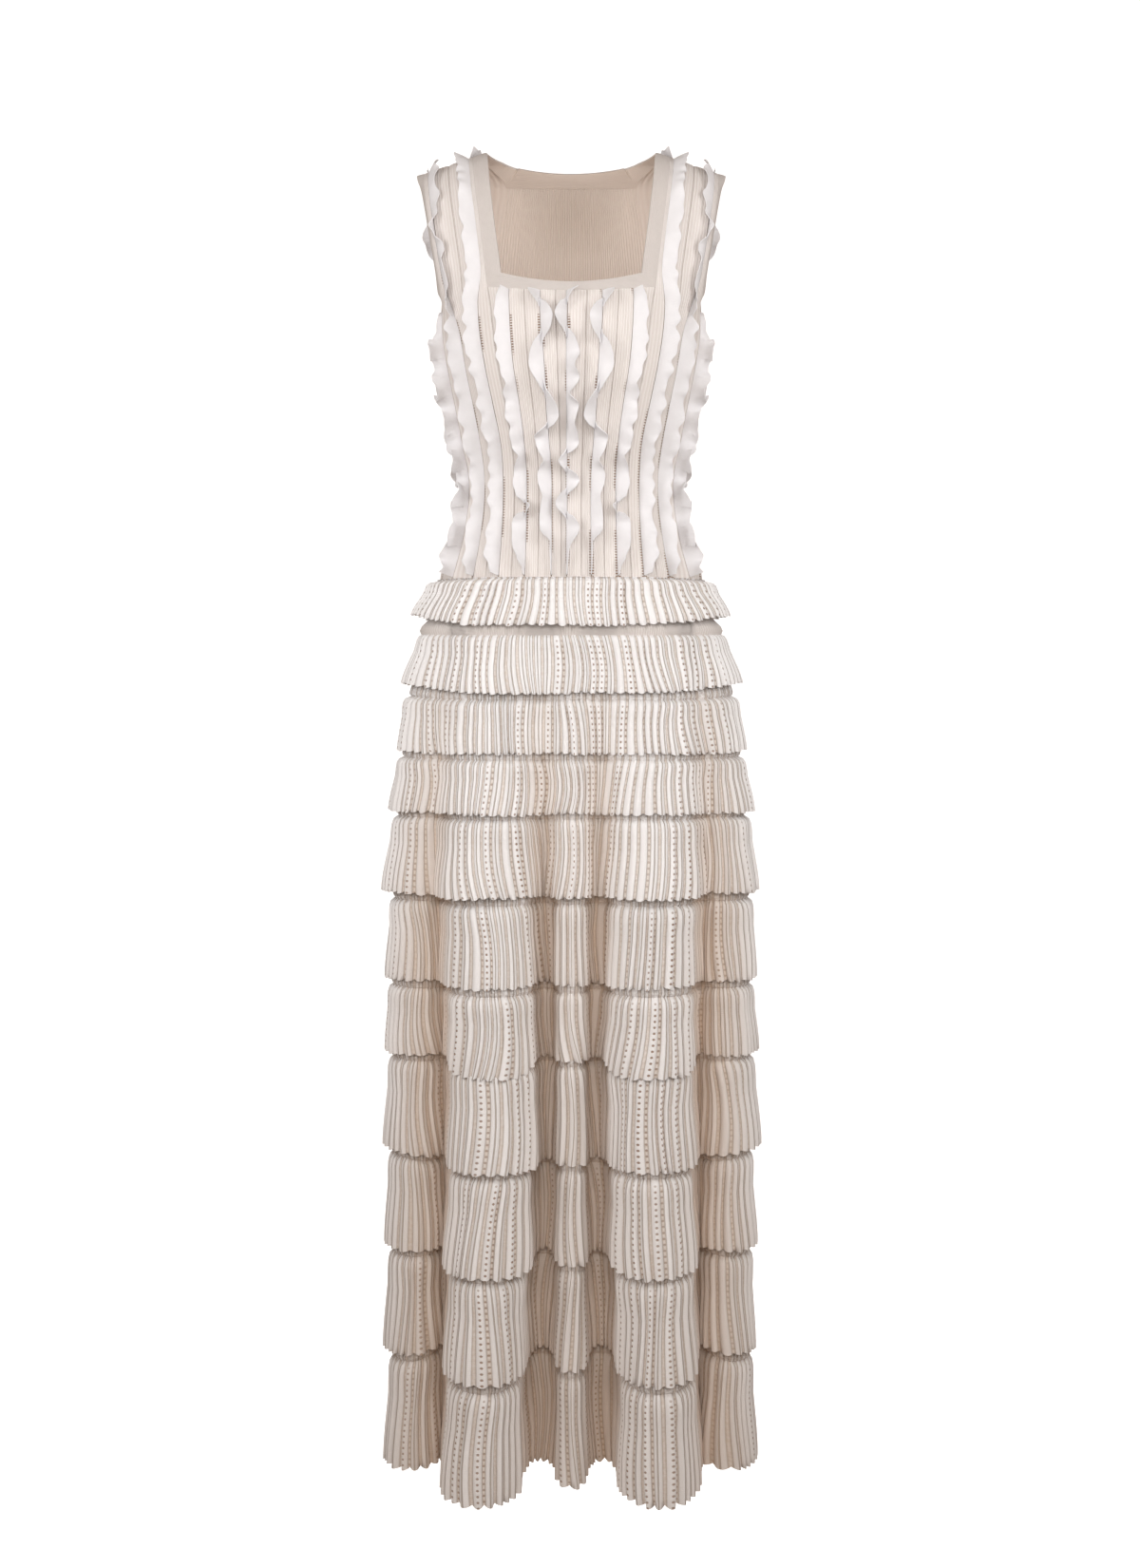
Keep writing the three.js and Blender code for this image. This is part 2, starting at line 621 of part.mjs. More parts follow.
// One section of the carrying skirt, with its columns at even steps of the fold table
function skirtSection(row) {
  const hem = [];
  const hip = [];
  for (let j = 0; j < SKIRT_COLUMNS; j += 1) {
    const share = j / SKIRT_COLUMNS;
    const x = closedCurve(foldX, share) - closedCurve(foldPull, share) * row.close;
    hem.push(new THREE.Vector3(x, closedCurve(foldY, share), row.z));
    const angle = hipAngle(share);
    const deep = Math.cos(angle) > 0 ? row.front : row.back;
    hip.push(new THREE.Vector3(
      Math.sign(Math.sin(angle)) * row.half * Math.abs(Math.sin(angle)) ** (2 / SECTION_POWER),
      -Math.sign(Math.cos(angle)) * deep * Math.abs(Math.cos(angle)) ** (2 / SECTION_POWER),
      row.z,
    ));
  }
  const normals = planNormals(hem);
  return hip.map((point, j) => {
    const stand = closedCurve(foldStand, j / SKIRT_COLUMNS);
    const inset = hem[j].clone().addScaledVector(normals[j], -HEM_INSET * stand);
    return point.clone().lerp(inset, row.fold);
  });
}

const skirtRows = SKIRT.map(skirtSection);
const skirtNormals = skirtRows.map(planNormals);

// A point of the carrying skirt's outside in column j at height z, moved out by the distance given
function skirtPoint(j, z, distance) {
  let i = 0;
  while (i < SKIRT.length - 2 && z < SKIRT[i + 1].z) i += 1;
  const t = (z - SKIRT[i].z) / (SKIRT[i + 1].z - SKIRT[i].z);
  const normal = skirtNormals[i][j].clone().lerp(skirtNormals[i + 1][j], t).normalize();
  const point = skirtRows[i][j].clone().lerp(skirtRows[i + 1][j], t).addScaledVector(normal, distance);
  return point.setZ(z);
}

function addCarryingSkirt() {
  const outer = skirtRows.slice(0, LAST_BASE_ROW + 1);
  const inner = shifted(outer, skirtNormals, () => -PANEL_WALL);
  add('skirt_base', wall(outer, inner, { closed: true, ridge: false }), ribKnit);
}

// One ruffle tier: a heading on the carrying skirt, a puffed shoulder and a pleated hem
function addTier(name, tier, number) {
  const heading = CURVED_SEAM + TIER_WALL;
  const outer = [[], [], []];
  for (let j = 0; j < SKIRT_COLUMNS; j += 1) {
    const share = j / SKIRT_COLUMNS;
    const turn = 2 * Math.PI * share;
    const pleat = Math.cos(PLEATS * turn + number) * tier.wave;
    const sideways = Math.sin(turn) ** 4;
    const valley = Math.max(0, closedCurve(foldRise, share));
    const fromFront = (THREE.MathUtils.radToDeg(hipAngle(share)) + 180) % 360 - 180;
    const offMiddle = 1 - Math.exp(-(fromFront ** 2) / 500);
    const inFront = Math.cos(turn) > 0 ? 1 : 0;
    const onLobe = Math.max(0, 1 - valley * 2) * inFront * (1 - sideways) * offMiddle;
    const hem = tier.hem + tier.side * sideways + tier.valley * valley - tier.lobe * onLobe;
    const stand = mix(1, closedCurve(foldStand, share), at(SKIRT, 'fold', tier.hem));
    const top = tier.top + tier.climb * sideways;
    outer[0].push(skirtPoint(j, top, heading));
    outer[1].push(skirtPoint(j, top - SHOULDER_DROP, mix(heading, tier.puff, stand) + 0.4 * pleat));
    outer[2].push(skirtPoint(j, hem, mix(heading, tier.flare, stand) + pleat));
  }
  const inner = outer.map((line, i) => line.map((point, j) => {
    const z = point.z;
    const distance = [heading, 0, 0][i];
    const normal = skirtPoint(j, z, distance + 1).sub(skirtPoint(j, z, distance));
    return point.clone().addScaledVector(normal, -TIER_WALL);
  }));
  add(name, wall(outer, inner, { closed: true }), openworkKnit);
}

addBodicePanel('bodice_front', front);
addBodicePanel('bodice_back', back);
addNeckband('neckband_front', front);
addNeckband('neckband_back', back);
addArmbands();
addFrills();
addCarryingSkirt();
TIERS.forEach((tier, i) => addTier(`tier_${String(i + 1).padStart(2, '0')}`, tier, i));

export default dress;
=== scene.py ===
"""Sleeveless maxi dress: rib-knit bodice with wavy frills over a long skirt of pleated openwork tiers."""

import functools
import math

import bpy
import numpy as np
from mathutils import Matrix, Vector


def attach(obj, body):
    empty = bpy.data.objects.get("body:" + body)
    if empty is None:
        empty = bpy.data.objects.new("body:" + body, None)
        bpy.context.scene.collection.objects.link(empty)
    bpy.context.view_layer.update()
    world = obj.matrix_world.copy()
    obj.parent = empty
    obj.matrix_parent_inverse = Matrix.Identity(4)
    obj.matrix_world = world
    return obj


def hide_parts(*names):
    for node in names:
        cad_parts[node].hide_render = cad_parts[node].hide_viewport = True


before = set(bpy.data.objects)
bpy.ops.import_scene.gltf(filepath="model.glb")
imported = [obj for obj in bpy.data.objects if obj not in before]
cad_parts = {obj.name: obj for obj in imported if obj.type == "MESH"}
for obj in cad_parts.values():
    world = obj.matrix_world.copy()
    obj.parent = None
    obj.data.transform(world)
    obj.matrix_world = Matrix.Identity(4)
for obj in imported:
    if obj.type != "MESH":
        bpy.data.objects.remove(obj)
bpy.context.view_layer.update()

bl_info = {
    "name": "Tiered Knit Dress",
    "version": (1, 0, 0),
    "blender": (4, 5, 0),
    "location": "3D View > Sidebar > Dress",
    "description": "Makes a sleeveless knit dress with frills and pleated openwork tiers",
    "category": "Object",
}

MM = 0.001
BODY = "root"

# Spacing of the ribs, and spacing and size of the small holes of the knit, in millimetres
RIB_PITCH = 2.6
LADDER_STEP = 3.0
EYELET_STEP = 6.4
EYELET_SIZE = 2.3
# Depth written on the inside of the bodice and the bands, where they take a painted warm shade for the
# shade that the cloth all round casts there, and how much of that painted shade they take
INSIDE = -10
INSIDE_SHARE = 0.6
# Edges that turn more than this are left sharp, so that rims and hems stay crisp
RIM_ANGLE = math.radians(62)

# Body section: a rounded box, y = deep * (1 - (x / half) ^ power) ^ (1 / power), all in millimetres
SECTION_POWER = 2.3
SHOULDER_START = 94
SHOULDER_SPAN = 75
UNDERARM_DIP = 21
NECKLINE_SAG = 5.6
NECK_CORNER = (76, -148)
NECK_MIDDLE_Z = -159
BACK_NECK_MIDDLE = (60, -10)
BACK_NECK_CORNER = (48.5, -6)
BACK_RIM_RISE = 0.3
HIP_Z = -478

# Column lines of the bodice, counted from the middle: frill lines a to e, the neck edge and the side seam
LINE_A, LINE_B, LINE_NECK, LINE_C, LINE_D, LINE_E, LINE_SIDE = 2, 4, 5, 6, 8, 9, 11
# Column line of each frill, and the number that seeds its waves at the back
FRILL_LINES = {
    "centre": (0, 0), "a": (LINE_A, 0), "b": (LINE_B, 1),
    "c": (LINE_C, 2), "d": (LINE_D, 3), "e": (LINE_E, 4),
}
RIBS_BEFORE_LINE = (0, 6, 12, 18, 24, 31, 35, 42, 49, 53, 59, 65)
# Points between two column lines, as shares, and the point past the middle where the way down is measured
IN_A_LINE = np.array([0, 0.08, 0.25, 0.5, 0.75, 0.92])
STRAP_COLUMN = 40


def table(names, rows):
    """Columns of numbers by name, one row for each section, fold or tier."""
    return {name: np.array(column, float) for name, column in zip(names.split(), zip(*rows))}


# Sections of the front, from the shoulder seam to the hip seam. slope is the drop at the armhole, deep and
# half are the reach forward and sideways, rim is the edge of the neck opening, the rest are column lines.
SECTION_COLUMNS = "z slope deep half a b rim neck c d e"
FRONT = table(SECTION_COLUMNS, [
    (0, 25, 0, 200, 34, 68, 94, 109.7, 114, 159, 164),
    (-6, 25, 28, 200, 34, 68, 93.5, 109.3, 113.6, 158.6, 163.6),
    (-20, 22, 52, 192, 34, 68, 92, 108, 112.6, 158, 163),
    (-50, 13, 75, 188, 34, 68, 89, 105, 109.6, 155.6, 160.5),
    (-95, 4, 90, 182, 34, 68, 83.5, 99.5, 104, 150, 154.6),
    (-140, 0, 100, 172, 34, 68, 77.5, 94, 99, 143, 147.6),
    (-163, 0, 106, 159, 34, 68, 76, 91, 100.5, 137.5, 144.5),
    (-180, 0, 111, 149.5, 33.8, 67.8, 76, 88, 102, 131.4, 143),
    (-212, 0, 118, 146.5, 32.4, 66.5, 76, 84, 99.9, 122, 142.5),
    (-250, 0, 123, 141.3, 29.5, 63, 76, 79, 93.8, 115.5, 136.2),
    (-290, 0, 114, 133.3, 27, 56.7, 76, 71, 85.5, 107.4, 128.3),
    (-330, 0, 100, 128, 24.5, 51.6, 76, 64.5, 77.5, 100, 120.5),
    (-364, 0, 91, 123.5, 22, 49, 76, 62, 75, 95.8, 113.8),
    (-400, 0, 92, 129, 21.7, 49, 76, 62, 75, 96.4, 114.5),
    (-440, 0, 98, 137.5, 21.7, 49.8, 76, 63.3, 77, 101.4, 121.5),
    (-478, 0, 105, 148, 21.7, 51.2, 76, 65.6, 80, 108.2, 131.8),
])
BACK = table(SECTION_COLUMNS, [
    (0, 25, 0, 200, 30, 54, 94, 109.7, 114, 159, 164),
    (-3, 25, 26, 200, 30, 54, 86, 100, 107, 158.6, 163.6),
    (-10, 24, 47, 195, 30, 54, 73, 87, 104, 158, 163),
    (-24, 20, 68, 190, 30, 54, 60, 74, 102, 156.5, 161.5),
    (-58, 12, 84, 186, 31, 58, 60, 79, 101, 154.5, 159.5),
    (-98, 4, 94, 180, 32, 62, 60, 84, 100, 149.6, 154.4),
    (-140, 0, 100, 172, 33, 66, 60, 87, 99, 143, 147.6),
])
# From the underarm to the hip seam the back has the front's lines, with its own reach and edge of the neck
BACK_DEEP = (103, 105, 105, 98, 88, 80, 85, 97, 110)
BACK_RIM = (60,) * len(BACK_DEEP)
for column in BACK:
    own = {"deep": BACK_DEEP, "rim": BACK_RIM}
    BACK[column] = np.append(BACK[column], own.get(column, FRONT[column][-len(BACK_DEEP):]))

# Heights where each front frill leans furthest one way or the other, and its lean from upright there, in
# degrees, + away from the middle
FRONT_FRILLS = {
    "centre": ((-169, 60), (-197, -58), (-237, 74), (-250, 38), (-264, 68), (-278, 16), (-293, 68),
               (-308, 34), (-330, 70), (-349, -38), (-372, 72), (-399, -56), (-425, 68), (-450, 15),
               (-476, 0)),
    "a": ((-168, 70), (-200, -76), (-247, 80), (-301, -64), (-325, 76), (-347, 24), (-363, 74),
          (-395, 46), (-420, 68), (-442, 10), (-476, 0)),
    "b": ((-167, 30), (-185, 70), (-227, 76), (-257, 54), (-267, 26), (-280, 70), (-312, 48),
          (-333, 56), (-343, 24), (-364, 72), (-389, 44), (-401, -30), (-419, 62), (-446, 50),
          (-476, 0)),
    "c": ((0, 58), (-22, 68), (-46, 46), (-68, 70), (-95, 60), (-130, 74), (-165, 60), (-200, 76),
          (-245, 64), (-290, 76), (-330, 62), (-372, 76), (-412, 64), (-446, 68), (-476, 20)),
    "d": ((0, -40), (-20, -62), (-66, -78), (-98, -22), (-116, -64), (-150, -68), (-180, -36),
          (-200, 24), (-225, 68), (-255, 52), (-285, 70), (-320, 52), (-352, 68), (-384, 50),
          (-414, 68), (-446, 56), (-476, 10)),
    "e": ((-185, 40), (-203, 60), (-222, -30), (-244, 54), (-262, -26), (-284, 52), (-301, -34),
          (-324, 50), (-344, -24), (-366, 52), (-386, -30), (-412, 50), (-432, -22), (-454, 44),
          (-476, 0)),
}
# Where a frill turns over, its free edge runs past the turn by this share of the wave and doubles back
FRILL_FOLD = 0.28
FRILL_TURN = 0.06
# Small uneven waves of the free edge: spacing in mm, and size in degrees at the middle and at the side
FLUTTER_STEP = 7
FLUTTER = (7, 26)
# How the width seen of a frill comes and goes: the spacing in mm, and the share at the middle and the side
RIPPLE_STEP = 9
RIPPLE = (0.06, 0.26)
# Spacing of a frill's points down the bodice in mm, how many it has from its root to its free edge, the
# most it leans over in radians, and the mm of cloth gathered into each mm of its seam
FRILL_SPACING = 2.2
FRILL_POINTS = 8
FRILL_LAID = 1.52
FRILL_GATHER = 1.25
# Share of its width that a frill shows where it stands upright, and the lean in degrees that shows it all
UPRIGHT_SHARE = 0.4
FULL_LEAN = 28
# The side frills start at a share of the width under the arm, and grow by another over this many mm
SIDE_START = 0.3
SIDE_GROWTH = 0.85
SIDE_SPAN = 40
# Spacing in mm and lean in degrees of the turns of the back frills, and where they start below the shoulder
BACK_TURN = 46
BACK_LEAN = 62
BACK_START = {"centre": -28, "a": -28, "b": -28, "c": 0, "d": 0, "e": -185}

# The carrying skirt under the ruffle tiers, as sections from the hip seam to the hem of the last tier. fold
# is how far the section has turned from the hip's rounded box into the folded hem outline below, and close
# is how much of the fold table's pull towards the middle it has.
SKIRT = table("z half front back fold close", [
    (-478, 148, 105, 110, 0, 1),
    (-545, 160, 108, 120, 0.03, 1),
    (-612, 172, 114, 128, 0.12, 1),
    (-741, 184, 134, 140, 0.36, 1),
    (-850, 189, 144, 147, 0.6, 1),
    (-1014, 192, 150, 152, 0.86, 1),
    (-1190, 194, 150, 152, 0.96, 0.6),
    (-1372, 195.5, 150, 152, 1, 0.15),
    (-1485, 196, 150, 152, 1, 0),
])
SKIRT_POINTS = 240
BASE_END_Z = -1372
# The knit swells a little where it shows between the first two tiers: how far, where and over what height
SWELL = 12
SWELL_Z = -533
SWELL_SPAN = 11
# How far the hem outline below stands off the carrying skirt
HEM_INSET = 12

# Half of the outer hem outline from the middle of the front to the middle of the back, one row for each
# turn of the large folds. hip is where the same thread lies on the hip seam, in degrees from the front,
# rise is how much of the valley lift the hem takes there, pull is how far nearer the middle it lies above
# the knee, and stand is the share of the full distance that the tiers stand off the carrying skirt.
FOLDS = table("x y hip rise pull stand", [
    (0, -94, 0, 0.2, 0, 0.5),
    (13, -84, 2.5, 0.3, 0, 0.5),
    (16, -60, 4.5, 0.8, 0, 0.6),
    (24, -40, 6, 1, 6, 0.9),
    (46, -38, 9, 1, 17, 1),
    (57, -62, 11.5, 0.7, 20, 1),
    (60, -104, 15, 0.2, 20, 1),
    (78, -138, 21, 0, 18, 1),
    (98, -147, 28, 0, 15, 1),
    (118, -140, 35, 0, 12, 1),
    (137, -108, 41, 0.2, 9, 1),
    (140, -62, 45, 0.8, 8, 1),
    (146, -28, 49, 1, 6, 1),
    (158, -48, 54, 0.8, 2, 1),
    (178, -54, 63, 0.4, 0, 1),
    (198, -34, 76, 0.1, 0, 1),
    (208, 0, 90, 0, 0, 1),
    (200, 33, 103, 0.1, 0, 1),
    (178, 53, 114, 0.5, 0, 1),
    (154, 45, 123, 1, 0, 1),
    (139, 64, 128, 0.8, 0, 1),
    (136, 100, 133, 0.2, 0, 1),
    (116, 135, 139, 0, 0, 1),
    (94, 143, 145, 0, 0, 1),
    (70, 130, 151, 0.1, 0, 1),
    (56, 96, 157, 0.5, 0, 1),
    (37, 76, 164, 1, 0, 1),
    (18, 92, 172, 0.4, 0, 1),
    (0, 104, 180, 0.2, 0, 1),
])

# The eleven ruffle tiers. puff and flare are how far the outside stands off the carrying skirt just below
# the heading and at the hem, climb and side are how much higher the heading and the hem run at the sides,
# valley is how much the hem lifts in the valleys of the folds, lobe how much it drops on the large front
# folds, and pleats is how many go round. seam is how far the heading's seam stands off, heading is how much
# of the looped heading it has, and scallop is the drop of each pleat at the hem. The first tier comes
# straight out of the hip seam.
TIERS = table("top hem puff flare climb side valley lobe pleats seam heading scallop", [
    (-479, -530, 10, 21, 0, 15, 0, 0, 96, 1.6, 0.1, 2.6),
    (-541, -604, 10, 18, 4, 13, 0, 0, 104, 6.5, 0.45, 2.6),
    (-612, -670, 11, 15, 5, 3, 0, 0, 108, 6.5, 1, 2.6),
    (-677, -735, 11, 16, 2, 0, 0, 0, 112, 6.5, 1, 2.6),
    (-741, -825, 11, 20, 0, 0, 0, 0, 116, 6.5, 1, 2.6),
    (-834, -923, 10, 14, 0, 0, 0, 0, 122, 6.5, 1, 2.6),
    (-932, -1007, 9.5, 14, 0, 0, 0, 13, 126, 6.5, 1, 2.6),
    (-1014, -1123, 9.5, 15.5, 0, 8, 0, 0, 130, 6.5, 1, 2.6),
    (-1130, -1237, 9, 16, 7, 9, 9, 0, 132, 6.5, 1, 2.6),
    (-1244, -1355, 9, 16, 8, 8, 16, 0, 134, 6.5, 1, 2.6),
    (-1365, -1485, 9, 16, 8, 10, 16, 0, 136, 6.5, 1, 3.6),
])
# The valleys of the folds take a painted warm shade from this far below the shoulders, fully so after the
# span, and the whole cloth takes a little of that painted shade towards the floor
SHADE_START = 560
SHADE_SPAN = 280
WARM_START = 600
WARM_SPAN = 900
# Large front folds on the hip seam, in degrees from the front, and the stretch they fade over
LOBE = (11, 47)
LOBE_FADE = 8
# Points across a pleat, and the cloth in it as its pattern of stitches counts it and as it is cut
PLEAT_POINTS = 8
PLEAT_CLOTH = 12
PLEAT_CUT = 14.5
# Depth of a pleat against the nominal: usual, least and most, how much of it is lost in the valleys of the
# folds, and the share it has at the top of the tier and the place down the tier where it is full
PLEAT_DEPTH = (0.85, 0.25, 1.35)
VALLEY_LOSS = 0.45
TOP_DEPTH = 0.6
FULL_DEPTH = 0.4
# A welt is this much squarer and wider than a plain wave
WELT_SQUARE = 1.8
WELT_WIDE = 0.12
# Places down a tier where it has puffed out, where its shoulder ends and where it starts to flare
PUFFED = 0.08
SHOULDER_END = 0.3
FLARE_START = 0.1
# The extra puff of the shoulder, and a lift of the hem that makes up for the drop of its scallops
SHOULDER_PUFF = 2
HEM_LIFT = 1.5
# Rows of a tier: heights of the looped heading above its seam, and shares of the way down below it
HEADING_LIFT = np.array([14, 9, 4, 1.5])
TIER_ROWS = np.array([0, 0.05, 0.12, 0.22, 0.36, 0.52, 0.68, 0.82, 0.93, 1])
# How far the heading curls out and its loops swing at heights above the seam, and how uneven its edge is
HEADING_CURL = ((0, 1.5, 4, 9, 14), (0, 1.6, 2.2, 1.6, 0))
HEADING_LOOPS = ((0, 4, 12), (0, 0.7, 1))
LOOP_UNEVEN = 0.22
# How uneven a tier is, as random values a pleat and their size: places sideways in pleats, heights of the
# hem and the loops, depths of the pleats, distances off the skirt, and places of the loops
UNEVEN = {
    "group_lean": (0.12, 0.6), "lean": (0.35, 0.45), "start": (0.5, 0.3), "bow": (0.2, 0.45),
    "hem": (1, 0.9), "hem_wave": (0.2, 1.2), "loop": (1.6, 1),
    "depth": (0.9, 0.5), "depth_wave": (0.15, 0.2),
    "swell_wave": (0.14, 2.2), "swell": (0.3, 1.2), "loop_place": (0.4, 2.5),
}

# Camera of the photograph: level with the upper thigh, looking slightly down, 2.8 m in front of the dress
CAMERA_PLACE = (-0.0014, -2.8, -0.5994)
CAMERA_PITCH = math.radians(90 - 2.1987)
CAMERA_LENS = 56.83
SENSOR = 36
FLOOR_Z = -1.62
# Lights: name, place, target and size in metres, power in watts, and tint
LIGHTS = (
    ("left_softbox", (-1.15, -1.05, 0), (0, 0, -0.4), (0.6, 0.8), 8.4, (0.99, 0.99, 1)),
    ("right_softbox", (1.15, -1.05, 0), (0, 0, -0.4), (0.6, 0.8), 8.4, (0.99, 0.99, 1)),
    ("front_softbox", (0, -1.9, -0.12), (0, 0, -0.36), (0.9, 1.1), 14, (1, 0.97, 0.94)),
    ("back_softbox", (0, 1.9, -0.1), (0, 0, -0.4), (1.4, 1.1), 18, (1, 0.98, 0.96)),
)
WARM_SURROUND = (1, 0.83, 0.71, 1)
SURROUND_STRENGTH = 0.3

# Sizes of the cloth, in millimetres
SIZES = {
    "panel_wall": ("Thickness of the rib knit", 1.4),
    "band_wall": ("Thickness of the doubled edge bands", 2.4),
    "tier_wall": ("Thickness of the openwork knit", 0.9),
    "frill_wall": ("Thickness of the frills", 0.8),
    "frill_width": ("How far a frill stands off the bodice", 16),
    "band_width": ("Width of the armhole bands", 9.5),
    "rib_rise": ("How far the rib panels stand above their grooves", 1.2),
    "pleat_depth": ("Half the depth of the pleats at the hem", 3.1),
}
# Colours of the yarns and the studio, as sRGB hex values
COLOURS = {
    "rib": ("Ivory viscose rib knit", "F0ECE9"),
    "groove": ("Ivory knit between the ribs", "E4DDD9"),
    # Painted shadow along each frill's root, also laid thinner on the finer lines between the frills
    "seam": ("Shaded line where a frill is sewn on", "A89A8F"),
    # Painted warm shade on the insides of the bodice and the bands
    "inside": ("Warm shade of the bodice's inside", "F3E0D0"),
    "band": ("Ivory doubled knit of the edge bands", "D5CFCB"),
    "frill": ("Off-white fine knit of the frills", "F1F1F4"),
    "ridge": ("Bright raised edge of the tier pleats", "F8F8F9"),
    "recess": ("Shaded openwork between the pleats", "DFD6CE"),
    # Painted shade inside the eyelets and the ladder holes
    "eyelet": ("Inside of the openwork eyelets", "86664E"),
    # Also the painted shade line at the foot of each welt
    "slit": ("Shaded line between the two edges of a pleat", "A29488"),
    # Painted warm shade in the valleys of the folds, and laid thinly over the cloth towards the floor
    "valley": ("Warm shade deep in the large folds", "DABB9C"),
    "sweep": ("Pale paper floor and backdrop", "FCFCFC"),
}


def linear(code):
    """Linear colour of an sRGB hex value."""
    parts = [int(code[i:i + 2], 16) / 255 for i in (0, 2, 4)]
    return tuple(c / 12.92 if c <= 0.04045 else ((c + 0.055) / 1.055) ** 2.4 for c in parts)


def label(key):
    return key.replace("_", " ").capitalize()


class DressSizes(bpy.types.PropertyGroup):
    """Sizes of the cloth, in millimetres."""

    __annotations__ = {
        key: bpy.props.FloatProperty(name=label(key), description=about, default=value, min=0)
        for key, (about, value) in SIZES.items()
    }


class DressColours(bpy.types.PropertyGroup):
    """Colours of the yarns and the studio."""

    __annotations__ = {
        key: bpy.props.FloatVectorProperty(
            name=label(key), description=about, subtype="COLOR", size=3, min=0, max=1, default=linear(value)
        )
        for key, (about, value) in COLOURS.items()
    }


def ease(t):
    s = np.clip(t, 0, 1)
    return s * s * (3 - 2 * s)


def through(values, place, closed=False):
    """Smooth curve through evenly spaced values, read at fractional places."""
    count = len(values)
    place = np.asarray(place, float)
    i = np.floor(place).astype(int)
    if not closed:
        i = np.clip(i, 0, count - 2)
    t = place - i
    if values.ndim > 1:
        t = t[..., None]
    near = [values[(i + k) % count if closed else np.clip(i + k, 0, count - 1)] for k in (-1, 0, 1, 2)]
    p0, p1, p2, p3 = near
    bend = (2 * p0 - 5 * p1 + 4 * p2 - p3) * t ** 2 + (3 * p1 - p0 - 3 * p2 + p3) * t ** 3
    return 0.5 * (2 * p1 + (p2 - p0) * t + bend)


def unit(vectors):
    return vectors / np.maximum(np.linalg.norm(vectors, axis=-1, keepdims=True), 1e-9)


def travelled(points):
    """Distance along a line of points, at each of them."""
    return np.append(0, np.cumsum(np.linalg.norm(np.diff(points, axis=0), axis=1)))


def pair(first, second):
    """One grid of two coordinates, each given on the grid or along one side of it."""
    return np.stack(np.broadcast_arrays(first, second), -1)


def wander(rng, count, places, closed=True):
    """Smooth random values at places along a closed or open line, from evenly spaced random ones."""
    values = rng.uniform(-1, 1, count)
    return through(values, places * count if closed else places * (count - 1), closed=closed)


# Cloth shells


def make_shell(name, outer, inner, uvs, closed=False, keep=None):
    """A closed shell between two grids of points in mm. Each UV map has an outside and an inside."""
    rows, wide = outer.shape[:2]
    across = wide + 1 if closed else wide
    spots = np.arange(rows * across).reshape(rows, across)
    quads = np.stack([spots[:-1, :-1], spots[:-1, 1:], spots[1:, 1:], spots[1:, :-1]], -1)
    quads = quads[keep] if keep is not None else quads.reshape(-1, 4)
    vertex = (np.arange(rows)[:, None] * wide + np.arange(across) % wide).ravel()
    start, stop = quads.ravel(), np.roll(quads, -1, axis=1).ravel()
    span = rows * wide
    forward = vertex[start] * span + vertex[stop]
    backward = vertex[stop] * span + vertex[start]
    border = ~np.isin(backward, forward)
    start, stop = start[border], stop[border]
    half = rows * across
    rims = np.stack([stop, start, start + half, stop + half], -1)
    faces = np.concatenate([quads, quads[:, ::-1] + half, rims])
    points = np.concatenate([outer.reshape(-1, 3), inner.reshape(-1, 3)]) * MM
    corners = np.concatenate([vertex, vertex + span])[faces]
    a, b, c, d = (points[corners[:, k]] for k in range(4))
    volume = (a * np.cross(b, c)).sum() + (a * np.cross(c, d)).sum()
    if volume < 0:
        faces, corners = faces[:, ::-1], corners[:, ::-1]
    used, corners = np.unique(corners, return_inverse=True)
    corners = corners.reshape(-1, 4)
    mesh = bpy.data.meshes.new(name)
    mesh.from_pydata(points[used], [], corners)
    for label, (outside, inside) in uvs.items():
        layer = mesh.uv_layers.new(name=label)
        flat = np.concatenate([outside.reshape(-1, 2), inside.reshape(-1, 2)])[faces.ravel()]
        layer.data.foreach_set("uv", np.ascontiguousarray(flat, np.float32).ravel())
    mesh.validate()
    mesh.shade_smooth()
    mesh.set_sharp_from_angle(angle=RIM_ANGLE)
    return mesh


def place(name, mesh, material, slot, nodes, flat, held, rests_on, area=None):
    """Puts a cloth piece in the scene, on its body and in place of its plain solid."""
    piece = bpy.data.objects.new(name, mesh)
    bpy.context.scene.collection.objects.link(piece)
    mesh.materials.append(material)
    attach(piece, BODY)
    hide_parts(*nodes)


# Bodice form


def with_shoulder(rows, other):
    """A panel's table with the other panel's first section ahead of it, so that the shoulder is round."""
    extended = {key: np.concatenate([[other[key][1]], rows[key]]) for key in rows}
    extended["deep"][0] = -other["deep"][1]
    return extended


